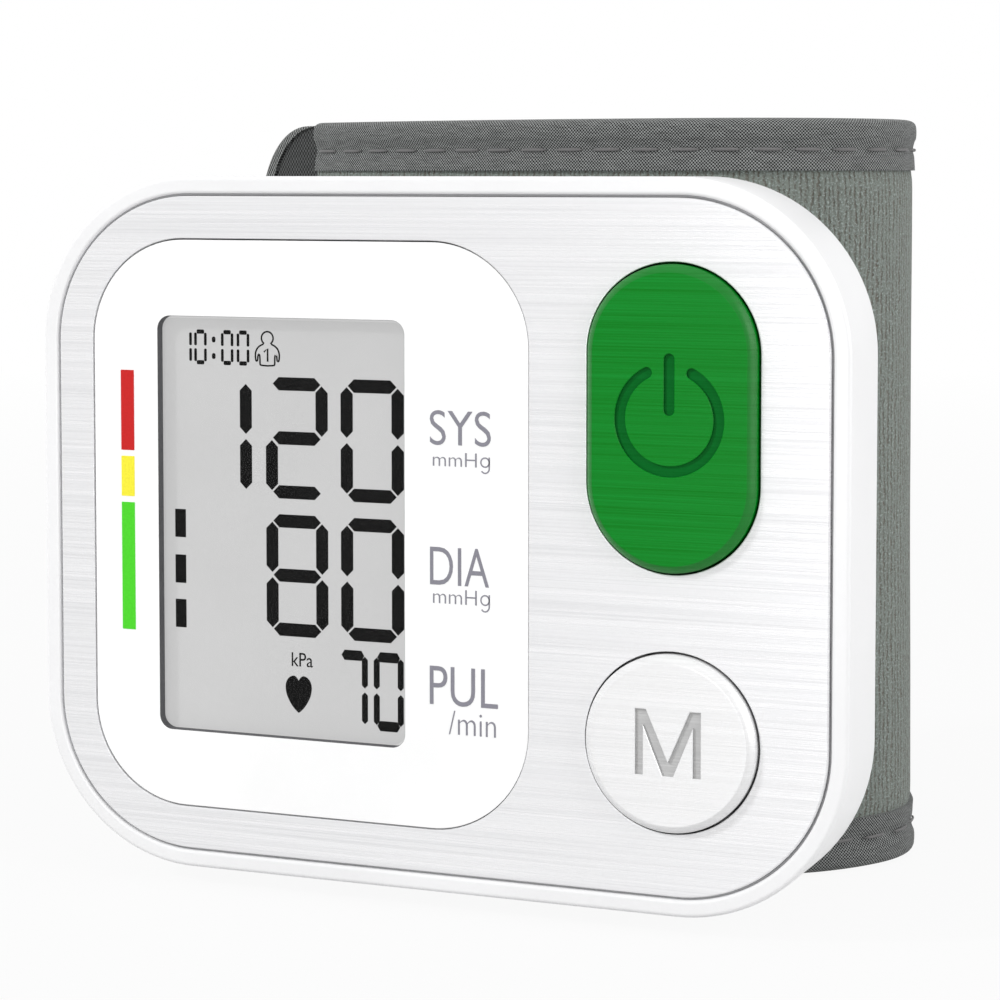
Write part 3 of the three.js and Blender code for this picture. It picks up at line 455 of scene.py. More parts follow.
class Wiring:
    """Adds nodes to a tree and links them."""

    def __init__(self, tree: Tree) -> None:
        """Takes the tree to work in."""
        self.tree = tree

    def add(self, kind: str, inputs: dict | None = None, **settings: object) -> Node:
        """Adds a node.

        Args:
            kind: Blender's name of the node type.
            inputs: values or sockets for its inputs, by name or number.
            **settings: its other properties.

        Returns:
            The node.
        """
        node = self.tree.nodes.new(kind)
        for name, value in settings.items():
            setattr(node, name, value)
        for key, value in (inputs or {}).items():
            self.feed(node.inputs[key], value)
        return node

    def feed(self, socket: Socket, value: object) -> None:
        """Links a socket into an input, or sets a plain value on it.

        Args:
            socket: the input.
            value: an output socket or a plain value.
        """
        if isinstance(value, Socket):
            self.tree.links.new(value, socket)
        else:
            socket.default_value = value

    def math(self, operation: str, *values: object) -> Socket:
        """Adds a math node and returns its result."""
        return self.add("ShaderNodeMath", dict(enumerate(values)), operation=operation).outputs[0]

    def blend(self, first: Socket, second: Socket, first_share: float, second_share: float) -> Socket:
        """Adds up shares of two values."""
        return self.math("ADD", self.math("MULTIPLY", first, first_share),
                         self.math("MULTIPLY", second, second_share))

    def spread(self, value: Socket, low: float, high: float, to_low: float = 0.0, to_high: float = 1.0
               ) -> Socket:
        """Maps a range of a value on another range, held at its ends.

        Args:
            value: the value to map.
            low: its value at one end.
            high: its value at the other.
            to_low: result at the first end.
            to_high: result at the other.

        Returns:
            The result.
        """
        names = ("Value", "From Min", "From Max", "To Min", "To Max")
        node = self.add("ShaderNodeMapRange", dict(zip(names, (value, low, high, to_low, to_high))))
        return node.outputs["Result"]

    def stretch(self, vector: Socket, scales: Triple) -> Socket:
        """Stretches a place along its three axes."""
        return self.add("ShaderNodeVectorMath", {0: vector, 1: scales}, operation="MULTIPLY").outputs[0]

    def vector(self, *parts: Socket) -> Socket:
        """Makes a place of its three parts."""
        return self.add("ShaderNodeCombineXYZ", dict(enumerate(parts))).outputs[0]

    def mix(self, share: Socket, first: object, second: object) -> Socket:
        """Mixes two colours by a share and returns the colour."""
        inputs = {0: share, 6: self.full(first), 7: self.full(second)}
        return self.add("ShaderNodeMix", inputs, data_type="RGBA").outputs[2]

    def noise(self, vector: Socket, scale: object, detail: float = 2.0, roughness: float = 0.5) -> Socket:
        """Adds a noise texture and returns its value."""
        inputs = {"Vector": vector, "Scale": scale, "Detail": detail, "Roughness": roughness}
        return self.add("ShaderNodeTexNoise", inputs).outputs[0]

    @staticmethod
    def full(colour: object) -> object:
        """Adds the fourth number to a plain colour."""
        return (*colour, 1.0) if isinstance(colour, tuple) else colour


class Effects:
    """Shader node groups that several finishes share, each built once."""

    _made: dict[str, Tree] = {}

    @classmethod
    def streaks(cls) -> Tree:
        """Fine brushed lines that run along the width of the case."""
        inputs = {"Pitch": 0.3, "Length": 40.0}
        return cls._once("brushed_streaks", inputs, ("Streak", "Fine"), cls._streaks)

    @classmethod
    def grain(cls) -> Tree:
        """The fine pitted skin of moulded plastic, with a slow drift over the piece."""
        return cls._once("moulded_grain", {"Size": 0.25}, ("Grain", "Drift"), cls._grain)

    @classmethod
    def twill(cls) -> Tree:
        """Crossing threads of a woven tape."""
        return cls._once("tape_threads", {"Pitch": 0.5}, ("Thread", "Slub"), cls._twill)

    @classmethod
    def pile(cls) -> Tree:
        """Ribs of short loops, broken and fuzzy."""
        return cls._once("loop_ribs", {"Pitch": 0.6}, ("Rib", "Fuzz", "Drift"), cls._pile)

    @classmethod
    def _once(cls, name: str, inputs: dict[str, float], outputs: Sequence[str],
              wire: Callable) -> Tree:
        """Builds a group the first time that it is asked for.

        Args:
            name: name of the group.
            inputs: names and values of its inputs.
            outputs: names of its outputs.
            wire: function that takes the wiring and the input node, and returns the output sockets.

        Returns:
            The group.
        """
        if name not in cls._made:
            tree = bpy.data.node_groups.new(name, "ShaderNodeTree")
            for label, value in inputs.items():
                socket = tree.interface.new_socket(label, in_out="INPUT", socket_type="NodeSocketFloat")
                socket.default_value = value
            for label in outputs:
                tree.interface.new_socket(label, in_out="OUTPUT", socket_type="NodeSocketFloat")
            wiring = Wiring(tree)
            entry = wiring.add("NodeGroupInput")
            results = wire(wiring, entry)
            wiring.add("NodeGroupOutput", dict(zip(outputs, results)))
            cls._made[name] = tree
        return cls._made[name]

    @staticmethod
    def _streaks(w: Wiring, entry: Node) -> list[Socket]:
        """Wires the brushed lines.

        Args:
            w: wiring of the group.
            entry: its input node.

        Returns:
            Lines with broad bands among them, and the fine lines alone.
        """
        layers, longer, wider = 400.0, 0.45, 0.22
        place = w.add("ShaderNodeTexCoord").outputs["Object"]
        split = w.add("ShaderNodeSeparateXYZ", {0: place}).outputs
        along = w.math("DIVIDE", w.math("MULTIPLY", split[0], PER_METRE), entry.outputs["Length"])
        across = w.math("DIVIDE", w.math("MULTIPLY", split[2], PER_METRE), entry.outputs["Pitch"])
        depth = w.math("MULTIPLY", split[1], layers)
        fine = w.noise(w.vector(along, depth, across), 1.0, 3.0)
        wide = w.vector(w.math("MULTIPLY", along, longer), depth, w.math("MULTIPLY", across, wider))
        streak = w.blend(fine, w.noise(wide, 1.0, 1.0), 0.8, 0.2)
        return [w.spread(streak, 0.32, 0.68), w.spread(fine, 0.3, 0.7)]

    @staticmethod
    def _grain(w: Wiring, entry: Node) -> list[Socket]:
        """Wires the moulded skin.

        Args:
            w: wiring of the group.
            entry: its input node.

        Returns:
            The fine grain, and the slow drift.
        """
        drift_scale = 45.0
        place = w.add("ShaderNodeTexCoord").outputs["Object"]
        scale = w.math("DIVIDE", PER_METRE, entry.outputs["Size"])
        return [w.noise(place, scale), w.noise(place, drift_scale)]

    @staticmethod
    def _cloth(w: Wiring) -> tuple[Socket, Socket, Socket]:
        """Finds the place on the flat cloth, in millimetres.

        Args:
            w: wiring of the group.

        Returns:
            The place, its length and its height.
        """
        flat = w.add("ShaderNodeUVMap", uv_map=CLOTH_MAP).outputs[0]
        split = w.add("ShaderNodeSeparateXYZ", {0: flat}).outputs
        return flat, split[0], split[1]

    @classmethod
    def _twill(cls, w: Wiring, entry: Node) -> list[Socket]:
        """Wires the woven threads.

        Args:
            w: wiring of the group.
            entry: its input node.

        Returns:
            The threads, and the thick and thin places along them.
        """
        wander, slubs = 0.09, (0.35, 3.2, 1.0)
        flat, along, up = cls._cloth(w)
        wobble = w.spread(w.noise(flat, 0.9), 0.0, 1.0, -wander, wander)
        waves = []
        for way in (along, up):
            count = w.math("DIVIDE", w.math("ADD", way, wobble), entry.outputs["Pitch"])
            waves.append(w.math("SINE", w.math("MULTIPLY", count, FULL_TURN)))
        cross = w.math("MULTIPLY", *waves)
        return [w.spread(cross, -0.35, 0.35), w.noise(w.stretch(flat, slubs), 1.6, 3.0)]

    @classmethod
    def _pile(cls, w: Wiring, entry: Node) -> list[Socket]:
        """Wires the looped ribs.

        Args:
            w: wiring of the group.
            entry: its input node.

        Returns:
            The ribs, the fuzz on them, and a slow drift of colour.
        """
        lean, shake, upright, clumps = 0.6, 0.3, (0.5, 0.09, 1.0), (2.4, 0.9, 1.0)
        flat, along, _ = cls._cloth(w)
        drift = w.spread(w.noise(w.stretch(flat, upright), 1.0), 0.0, 1.0, -lean, lean)
        jitter = w.spread(w.noise(flat, 2.2, 3.0), 0.0, 1.0, -shake, shake)
        swayed = w.math("ADD", w.math("ADD", along, drift), jitter)
        turn = w.math("MULTIPLY", w.math("DIVIDE", swayed, entry.outputs["Pitch"]), FULL_TURN)
        rib = w.spread(w.math("SINE", turn), -0.9, 0.5)
        joined = w.spread(w.noise(w.stretch(flat, clumps), 1.3, 3.0), 0.44, 0.66, 0.0, 0.85)
        return [w.math("MAXIMUM", rib, joined), w.noise(flat, 4.4, 4.0, 0.7), w.noise(flat, 0.06)]


# Finishes


class Shader:
    """A new material with its wiring and its one surface shader."""

    def __init__(self, name: str, **sockets: object) -> None:
        """Makes the material.

        Args:
            name: name of the material.
            **sockets: plain values of the shader's own inputs, with _ for each space.
        """
        self.material = bpy.data.materials.new(name)
        self.material.use_nodes = True
        self.wiring = Wiring(self.material.node_tree)
        self.surface = self.material.node_tree.nodes["Principled BSDF"]
        for key, value in sockets.items():
            self.set(key.replace("_", " "), value)

    def set(self, label: str, value: object) -> None:
        """Feeds one input of the surface shader."""
        self.wiring.feed(self.surface.inputs[label], Wiring.full(value))

    def effect(self, group: Tree, **inputs: float) -> bpy.types.bpy_prop_collection:
        """Places a shared effect and returns its outputs."""
        return self.wiring.add("ShaderNodeGroup", inputs, node_tree=group).outputs

    def vary_roughness(self, mask: Socket, roughness: float, vary: float = 0.05) -> None:
        """Lets the roughness wander a little with a mask."""
        self.set("Roughness", self.wiring.spread(mask, 0.3, 0.7, roughness - vary, roughness + vary))

    def bump(self, height: Socket, depth_mm: float) -> None:
        """Raises the surface by a height of so many millimetres."""
        inputs = {"Height": height, "Distance": depth_mm * MM, "Strength": 1.0}
        self.set("Normal", self.wiring.add("ShaderNodeBump", inputs).outputs[0])


def dimmed(colour: Colour, share: float) -> Colour:
    """A darker shade of a colour."""
    return tuple(channel * share for channel in colour)


@dataclass(frozen=True)
class Finish:
    """What every finish has: a name, and a material made when it is first asked for."""

    name: str

    def material(self) -> Material:
        """The material of this finish."""
        return bpy.data.materials.get(self.name) or self.make()

    def make(self) -> Material:
        """Makes the material, each finish in its own way."""
        raise NotImplementedError


@dataclass(frozen=True)
class MouldedPlastic(Finish):
    """Moulded plastic with a fine skin."""

    colour: Colour
    roughness: float
    grain_mm: float = 0.25
    depth_mm: float = 0.006
    metallic: float = 0.0
    coat: float = 0.0
    gloss: float = 0.5

    def make(self) -> Material:
        """Makes the material.

        Returns:
            The new material.
        """
        shader = Shader(self.name, Metallic=self.metallic, Coat_Weight=self.coat, Coat_Roughness=0.15,
                        Specular_IOR_Level=self.gloss)
        w = shader.wiring
        out = shader.effect(Effects.grain(), Size=self.grain_mm)
        shade = dimmed(self.colour, 0.955)
        shader.set("Base Color", w.mix(w.spread(out["Drift"], 0.35, 0.65), shade, self.colour))
        shader.vary_roughness(out["Grain"], self.roughness)
        shader.bump(out["Grain"], self.depth_mm)
        return shader.material


@dataclass(frozen=True)
class BrushedSkin(Finish):
    """A skin with fine lines brushed along the width of the case."""

    dark: Colour
    light: Colour
    roughness: float
    metallic: float
    pitch_mm: float
    length_mm: float
    depth_mm: float = 0.006
    gloss: float = 0.5

    def make(self) -> Material:
        """Makes the material.

        Returns:
            The new material.
        """
        shader = Shader(self.name, Metallic=self.metallic, Specular_IOR_Level=self.gloss,
                        Anisotropic=0.7, Anisotropic_Rotation=0.25)
        w = shader.wiring
        out = shader.effect(Effects.streaks(), Pitch=self.pitch_mm, Length=self.length_mm)
        shader.set("Base Color", w.mix(out["Streak"], self.dark, self.light))
        rough = w.spread(out["Fine"], 0.0, 1.0, self.roughness + 0.08, self.roughness - 0.06)
        shader.set("Roughness", rough)
        shader.bump(out["Fine"], self.depth_mm)
        return shader.material


@dataclass(frozen=True)
class DisplayGlass(Finish):
    """The grey face of the display, with a painted glow, though it is no lamp, that hides the shade along
    its edges.
    """

    colour: Colour
    painted_glow: float
    grain_mm: float = 0.12
    depth_mm: float = 0.002
    roughness: float = 0.36

    def make(self) -> Material:
        """Makes the material.

        Returns:
            The new material.
        """
        shader = Shader(self.name, Specular_IOR_Level=0.25)
        w = shader.wiring
        out = shader.effect(Effects.grain(), Size=self.grain_mm)
        face = w.mix(w.spread(out["Drift"], 0.3, 0.7), dimmed(self.colour, 0.94), self.colour)
        shader.set("Base Color", face)
        # Painted glow: the face lights itself, though it is no lamp, so that the shade of its recess
        # doesn't show at its edges.
        shader.set("Emission Color", face)
        shader.set("Emission Strength", self.painted_glow)
        shader.vary_roughness(out["Grain"], self.roughness, 0.06)
        shader.bump(out["Grain"], self.depth_mm)
        return shader.material


@dataclass(frozen=True)
class ClearPane(Finish):
    """A thin clear pane: little more than its gloss shows."""

    tint: Colour = (0.02, 0.02, 0.02)
    cover: float = 0.05
    index: float = 1.49
    roughness: float = 0.05

    def make(self) -> Material:
        """Makes the material.

        Returns:
            The new material.
        """
        shader = Shader(self.name, Base_Color=self.tint, Alpha=self.cover, IOR=self.index)
        out = shader.effect(Effects.grain(), Size=1.5)
        shader.vary_roughness(out["Drift"], self.roughness, 0.02)
        return shader.material


@dataclass(frozen=True)
class Ink(Finish):
    """Screen printed ink, slightly uneven."""

    colour: Colour
    roughness: float = 0.5
    gloss: float = 0.3

    def make(self) -> Material:
        """Makes the material.

        Returns:
            The new material.
        """
        shader = Shader(self.name, Specular_IOR_Level=self.gloss)
        w = shader.wiring
        out = shader.effect(Effects.grain(), Size=0.2)
        thin = dimmed(self.colour, 0.9)
        shader.set("Base Color", w.mix(w.spread(out["Grain"], 0.35, 0.65), thin, self.colour))
        shader.vary_roughness(out["Drift"], self.roughness)
        return shader.material


@dataclass(frozen=True)
class LoopCloth(Finish):
    """Brushed loop cloth with fine upright ribs."""

    gap: Colour
    pile: Colour
    tip: Colour
    pitch_mm: float
    depth_mm: float = 0.22

    def make(self) -> Material:
        """Makes the material.

        Returns:
            The new material.
        """
        shader = Shader(self.name, Roughness=0.95, Specular_IOR_Level=0.15, Sheen_Weight=0.25,
                        Sheen_Roughness=0.5)
        w = shader.wiring
        out = shader.effect(Effects.pile(), Pitch=self.pitch_mm)
        ribs = w.mix(w.spread(out["Rib"], 0.0, 0.7), self.gap, self.pile)
        pits = w.mix(w.spread(out["Fuzz"], 0.3, 0.45, 0.55, 0.0), ribs, self.gap)
        tips = w.mix(w.spread(out["Fuzz"], 0.52, 0.68, 0.0, 0.9), pits, self.tip)
        faded = w.mix(w.spread(out["Drift"], 0.35, 0.65, 0.0, 0.16), tips, self.pile)
        shader.set("Base Color", faded)
        shader.bump(w.blend(out["Rib"], out["Fuzz"], 0.55, 0.7), self.depth_mm)
        return shader.material


@dataclass(frozen=True)
class WovenTape(Finish):
    """Woven tape or cloth whose threads cross on the slant."""

    dark: Colour
    light: Colour
    pitch_mm: float
    depth_mm: float
    roughness: float = 0.85

    def make(self) -> Material:
        """Makes the material.

        Returns:
            The new material.
        """
        shader = Shader(self.name, Specular_IOR_Level=0.25, Sheen_Weight=0.12, Sheen_Roughness=0.5)
        w = shader.wiring
        out = shader.effect(Effects.twill(), Pitch=self.pitch_mm)
        threads = w.mix(w.spread(out["Thread"], 0.2, 0.8), self.dark, self.light)
        worn = w.mix(w.spread(out["Slub"], 0.35, 0.7, 0.0, 0.4), threads, self.dark)
        shader.set("Base Color", worn)
        rough = w.spread(out["Thread"], 0.0, 1.0, self.roughness + 0.1, self.roughness - 0.1)
        shader.set("Roughness", rough)
        shader.bump(out["Thread"], self.depth_mm)
        return shader.material


@dataclass(frozen=True)
class BareMetal(Finish):
    """Plated or drawn metal with faint drawn lines."""

    colour: Colour
    roughness: float = 0.3

    def make(self) -> Material:
        """Makes the material.

        Returns:
            The new material.
        """
        shader = Shader(self.name, Metallic=1.0)
        w = shader.wiring
        out = shader.effect(Effects.streaks(), Pitch=0.2, Length=6.0)
        shader.set("Base Color", w.mix(out["Streak"], dimmed(self.colour, 0.85), self.colour))
        rough = w.spread(out["Fine"], 0.0, 1.0, self.roughness + 0.1, self.roughness - 0.05)
        shader.set("Roughness", rough)
        return shader.material


class Palette:
    """The finishes of this part."""

    SHELL = MouldedPlastic("satin_shell", (0.87, 0.87, 0.877), 0.36, metallic=0.1, gloss=0.2)
    # Painted shade: near-black on the recess floor and on the walls of the openings, where the narrow
    # grooves lie in shade.
    GROOVE_SHADE = MouldedPlastic("groove_painted_shade", (0.045, 0.045, 0.05), 0.7)
    # Painted shade: a darker grey on the shelves inside the rim and round the display surround, which lie
    # in shade.
    SHADE = MouldedPlastic("recess_painted_shade", (0.4, 0.4, 0.41), 0.6)
    PLATE = BrushedSkin(
        "brushed_fascia", (0.705, 0.705, 0.717), (0.86, 0.86, 0.87), 0.3, 0.25, 0.1, 34.0, 0.004)
    PANEL = MouldedPlastic("gloss_surround", (0.97, 0.97, 0.97), 0.14, 0.6, 0.002, coat=0.3)
    WELL = MouldedPlastic("display_wall", (0.07, 0.07, 0.075), 0.5)
    # Painted glow: the display face lights itself, though it is no lamp.
    DISPLAY = DisplayGlass("display_grey", (0.2, 0.2, 0.2), 2.45)
    PANE = ClearPane("clear_pane")
    SEGMENT = Ink("display_segment", (0.0068, 0.0068, 0.0068), 0.5, 0.05)
    LABEL = Ink("label_grey", (0.25, 0.245, 0.285))
    RED = Ink("scale_red", (0.59, 0.01, 0.01))
    YELLOW = Ink("scale_yellow", (0.95, 0.86, 0.042))
    GREEN = Ink("scale_green", (0.07, 0.68, 0.018))
    POWER = BrushedSkin(
        "brushed_green", (0.0002, 0.178, 0.007), (0.004, 0.252, 0.024), 0.34, 0.0, 0.13, 30.0, gloss=0.12)
    # Painted shade: a darker, duller copy of the key's green on its bevel.
    POWER_EDGE = BrushedSkin(
        "bevel_green_painted_shade", (0.001, 0.155, 0.01), (0.004, 0.2, 0.02), 0.36, 0.0, 0.13, 30.0, gloss=0.3)
    # Painted shade: a darker copy of the key's green on the walls and floors of the sunk marks.
    POWER_MARK = BrushedSkin(
        "sunk_green_painted_shade", (0.001, 0.118, 0.013), (0.002, 0.142, 0.02), 0.5, 0.0, 0.13, 30.0, gloss=0.06)
    MEMORY = BrushedSkin(
        "brushed_key", (0.745, 0.745, 0.75), (0.875, 0.875, 0.88), 0.3, 0.2, 0.1, 34.0, 0.004)
    # Painted shade: a darker copy of the key's grey on the walls and floor of the sunk letter.
    MEMORY_MARK = BrushedSkin("sunk_grey_painted_shade", (0.45, 0.45, 0.45), (0.56, 0.56, 0.56), 0.5, 0.0, 0.13, 26.0)
    COVER = LoopCloth(
        "cuff_loop_cloth", (0.108, 0.097, 0.077), (0.202, 0.23, 0.206), (0.445, 0.515, 0.5), 0.58)
    TAPE = WovenTape("binding_tape", (0.003, 0.0035, 0.0035), (0.318, 0.33, 0.325), 0.32, 0.03)
    RIM = WovenTape("rim_tape", (0.002, 0.0025, 0.0025), (0.3, 0.31, 0.305), 0.52, 0.04)
    # Painted shade: much darker threads for the tab, which lies in shade behind the near end.
    TAB_SHADE = WovenTape("tab_cloth", (0.003, 0.0035, 0.0035), (0.085, 0.089, 0.088), 0.56, 0.04)
    LINING = WovenTape("lining_cloth", (0.05, 0.055, 0.055), (0.15, 0.165, 0.165), 0.4, 0.04)
    HOOK = WovenTape("hook_tape", (0.01, 0.011, 0.011), (0.07, 0.076, 0.076), 1.1, 0.3, 0.7)
    THREAD = WovenTape("sewing_thread", (0.145, 0.143, 0.144), (0.25, 0.246, 0.248), 0.3, 0.04, 0.7)
    STEEL = BareMetal("plated_steel", (0.6, 0.61, 0.63))
    CELL = MouldedPlastic("cell_sleeve", (0.2, 0.22, 0.25), 0.3, 0.4, 0.002, 0.6)
    BOARD = MouldedPlastic("solder_mask", (0.012, 0.11, 0.04), 0.35, 0.3)
    DARK = MouldedPlastic("black_plastic", (0.03, 0.03, 0.034), 0.5)
    PALE = MouldedPlastic("natural_plastic", (0.6, 0.6, 0.58), 0.45)
    RUBBER = MouldedPlastic("soft_rubber", (0.045, 0.045, 0.05), 0.75, 0.4, 0.01)


# Case


@dataclass
class Case:
    """The front cover, the rear cover and the battery door."""

    width: float = 80.0
    height: float = 65.6
    corner: float = 15.75
    wall: float = 1.6
    rim: float = 1.6
    seam: float = 8.8
    edge: float = 0.42
    lip_edge: float = 0.3
    ledge: float = 0.19
    lip_depth: float = 0.45
    seam_edge: float = 0.2
    floor_front: float = 1.5
    floor_back: float = 3.1
    window: Outline = Outline(30.14, 43.94, 1.3, -14.75)
    key_gap: float = 0.3

    def outline(self) -> Outline:
        """The line of the case seen from the front."""
        return Outline(self.width, self.height, self.corner, steps=28)

    def build(self) -> None:
        """Builds and dresses the case."""
        self._front_cover()
        for node in ("rear_cover", "battery_door"):
            dress(node, Palette.SHELL, 30.0)

    def _front_cover(self) -> None:
        """Builds the front cover: rim, recess and front wall."""
        form, line, lip_steps = Form(), self.outline(), 6
        outside = eased_edge(0.0, self.edge, 10)
        levels = [(self.seam, self.seam_edge), (self.seam - self.seam_edge, 0.0), *reversed(outside)]
        flat_end = self.rim - self.lip_edge
        levels.append((0.0, flat_end - GUARD))
        for i in range(lip_steps + 1):
            angle = math.pi / 2 * i / lip_steps
            levels.append((
                self.lip_edge * (1 - math.cos(angle)), flat_end + self.lip_edge * math.sin(angle)))
        ledge = self.rim + self.ledge
        levels += [(self.lip_depth, self.rim), (self.lip_depth, ledge), (self.floor_front, ledge)]
        # The shelf inside the rim takes painted shade (finish 2), and the wall below it near-black
        # painted shade (finish 1).
        finishes = [0] * (len(levels) - 3) + [2, 1]
        first, floor = form.walls(line, levels, -1, finishes)
        fronts, backs = [], []
        # The walls of the openings and the recess floor take near-black painted shade (finish 1).
        for hole in (self.window, POWER_LINE.grown(self.key_gap), MEMORY_LINE.grown(self.key_gap)):
            near, far = form.walls(hole, [(self.floor_front, 0.0), (self.floor_back, 0.0)], 1, [1])
            fronts.append(near)
            backs.append(far)
        form.cap([floor, *fronts], 1)
        inner = form.level(line, self.floor_back, -self.wall)
        foot = form.level(line, self.seam, -self.wall)
        form.cap([inner, *backs])
        form.skin(inner, foot)
        form.skin(foot, first)
        piece = form.build("case_front", Palette.SHELL, Palette.GROOVE_SHADE, Palette.SHADE)
        seat(piece, Body.CASE, "shell", "front_cover")


def dress(node: str, finish: Finish, crease: float = 0.0) -> None:
    """Gives a solid that stays in sight its finish.

    Args:
        node: name of the solid.
        finish: its new finish.
        crease: angle above which its edges stay sharp, or 0 to leave its shading alone.
    """
    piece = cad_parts[node]
    slots = piece.data.materials
    slots.clear()
    slots.append(finish.material())
    if crease:
        for label in ("custom_normal", "sharp_edge", "sharp_face"):
            layer = piece.data.attributes.get(label)
            if layer is not None:
                piece.data.attributes.remove(layer)
        piece.modifiers.new("weld", "WELD").merge_threshold = 2e-5
        split = piece.modifiers.new("crease", "EDGE_SPLIT")
        split.split_angle, split.use_edge_sharp = math.radians(crease), False
    LOG.info("%s dressed in %s", node, finish.name)


# Fascia and display


@dataclass
class Fascia:
    """The brushed plate, the white surround of the display and all printed marks."""

    plate: Outline = Outline(76.34, 61.94, 13.92, steps=28)
    plate_back: float = 1.2
    panel: Outline = Outline(44.4, 53.6, 9.5, -12.15)
    surround: Outline = Outline(44.58, 53.7, 9.55, -12.08)
    panel_gap: float = 0.2
    shelf: float = 0.05
    shelf_depth: float = 0.4
    panel_back: float = 0.95
    view: Outline = Outline(25.54, 39.34, 1.3, -14.75)
    key_gap: float = 0.21
    plate_edge: float = 0.16
    hole_edge: float = 0.07
    panel_edge: float = 0.05
    view_edge: float = 0.03
    print_lift: float = 0.03

    def build(self) -> None:
        """Builds and dresses the fascia."""
        self._plate()
        self._panel()
        self._labels()
        self._scale()

    def _plate(self) -> None:
        """Builds the brushed plate with its three openings."""
        form = Form()
        wall = [*eased_edge(0.0, self.plate_edge, 4), (self.plate_back, 0.0)]
        first, last = form.walls(self.plate, wall, -1, [0])
        edge = eased_edge(0.0, self.hole_edge, 3)
        # The shelf round the surround's opening takes painted shade (finish 2).
        shelf = [*edge, (self.shelf_depth, 0.0), (self.shelf_depth, -self.shelf),
                 (self.plate_back, -self.shelf)]
        ends = [form.walls(self.panel.grown(self.panel_gap), shelf, 1, [0] * len(edge) + [2])]
        # The walls of the key holes take near-black painted shade (finish 1).
        for key in (POWER_LINE, MEMORY_LINE):
            hole, slim = key.grown(self.key_gap), [*edge, (self.plate_back, 0.0)]
            ends.append(form.walls(hole, slim, 1, [0] * (len(edge) - 1) + [1]))
        form.cap([first, *(end[0] for end in ends)])
        form.cap([last, *(end[1] for end in ends)])
        piece = form.build("fascia_skin", Palette.PLATE, Palette.GROOVE_SHADE, Palette.SHADE)
        seat(piece, Body.CASE, "plate", "fascia_plate")

    def _panel(self) -> None:
        """Builds the white surround with the dark wall of its window."""
        form = Form()
        back = (self.panel_back, 0.0)
        first, last = form.walls(self.surround, [*eased_edge(0.0, self.panel_edge, 4), back], -1, [0])
        near, far = form.walls(self.view, [*eased_edge(0.0, self.view_edge, 2), back], 1, [0, 1])
        form.cap([first, near])
        form.cap([last, far], 1)
        piece = form.build("display_surround", Palette.PANEL, Palette.WELL)
        seat(piece, Body.CASE, "panel", "display_panel")

    def _labels(self) -> None:
        """Prints the reading names and units beside the display."""
        form = Form()
        y = -self.print_lift
        for text, left, right, low, high, weight in (
            ("SYS", 0.58, 6.59, 8.45, 11.63, -0.005), ("mmH", 0.88, 5.2, 6.55, 7.81, -0.012),
            ("DIA", 0.58, 6.4, -4.32, -0.85, -0.005), ("mmH", 0.88, 5.2, -6.01, -4.68, -0.012),
            ("PUL", 0.54, 7.27, -15.39, -11.81, -0.005), ("/min", 2.43, 7.07, -18.01, -15.81, -0.012),
        ):
            Lettering(text, left, right, low, high, weight).set_on(form, y, 0.0)
        for low, base, top in ((5.99, 6.55, 7.5), (-6.61, -6.01, -5.01)):
            for stroke in self._small_g(5.55, 6.49, low, base, top):
                form.slab(stroke, y, 0.0)
        piece = form.build("printed_labels", Palette.LABEL)
        seat(piece, Body.CASE, "dark_plastic")

    @staticmethod
    def _small_g(left: float, right: float, low: float, base: float, top: float) -> list[LineStroke]:
        """Draws the g of the unit with an open tail.

        Args:
            left: its left side.
            right: its right side.
            low: foot of its tail.
            base: height of the line that the word stands on.
            top: height of its bowl's top.

        Returns:
            The bowl, and the stem with the tail.
        """
        half, count, drop = 0.06, 24, 0.05
        middle, across = (left + right) / 2, (right - left) / 2 - half
        rise, sink = (top - base) / 2 - half, base - drop - low - half
        bowl, tail, tail_share = [], [], 0.4
        for i in range(count + 1):
            angle = FULL_TURN * i / count
            bowl.append((middle + across * math.cos(angle), (base + top) / 2 + rise * math.sin(angle)))
            angle *= tail_share
            tail.append((middle + across * math.cos(angle), base - drop - sink * math.sin(angle)))
        return [LineStroke(tuple(bowl), half), LineStroke(((right - half, top), *tail), half)]

    def _scale(self) -> None:
        """Prints the three coloured bars left of the display."""
        form = Form()
        bars = ((14.44, 6.8), (6.23, 2.4), (1.82, -10.38))
        left, right, corner = -31.52, -30.11, 0.04
        for number, (top, bottom) in enumerate(bars):
            bar = Outline(right - left, top - bottom, corner, (left + right) / 2, (top + bottom) / 2, 2)
            form.slab(bar, -self.print_lift, 0.0, number)
        piece = form.build("printed_scale", Palette.RED, Palette.YELLOW, Palette.GREEN)
        seat(piece, Body.CASE, "dark_plastic")


@dataclass(frozen=True)
class Lettering:
    """A word that fills a box in the plane of the face."""

    text: str
    left: float
    right: float
    low: float
    high: float
    weight: float = 0.0

    def set_on(self, form: Form, front: float, back: float) -> None:
        """Adds the word to a form.

        Args:
            form: form that takes the letters.
            front: depth of the letters' face.
            back: depth that they stand on.
        """
        curve = bpy.data.curves.new("word", "FONT")
        curve.body = self.text
        curve.offset = self.weight
        curve.extrude = 0.1  # any depth does: the two faces are set to front and back below
        curve.resolution_u = 5
        word = bpy.data.objects.new("word", curve)
        bpy.context.scene.collection.objects.link(word)
        bpy.context.view_layer.update()
        graph = bpy.context.evaluated_depsgraph_get()
        mesh = bpy.data.meshes.new_from_object(word.evaluated_get(graph))
        xs = [v.co.x for v in mesh.vertices]
        ys = [v.co.y for v in mesh.vertices]
        wide = (self.right - self.left) / (max(xs) - min(xs))
        tall = (self.high - self.low) / (max(ys) - min(ys))
        start = form.ring(
            (self.left + (v.co.x - min(xs)) * wide, front if v.co.z > 0 else back,
             self.low + (v.co.y - min(ys)) * tall)
            for v in mesh.vertices)[0]
        for face in mesh.polygons:
            form.faces.append(tuple(start + number for number in face.vertices))
            form.finish_of.append(0)
        bpy.data.objects.remove(word)
        bpy.data.curves.remove(curve)
        bpy.data.meshes.remove(mesh)


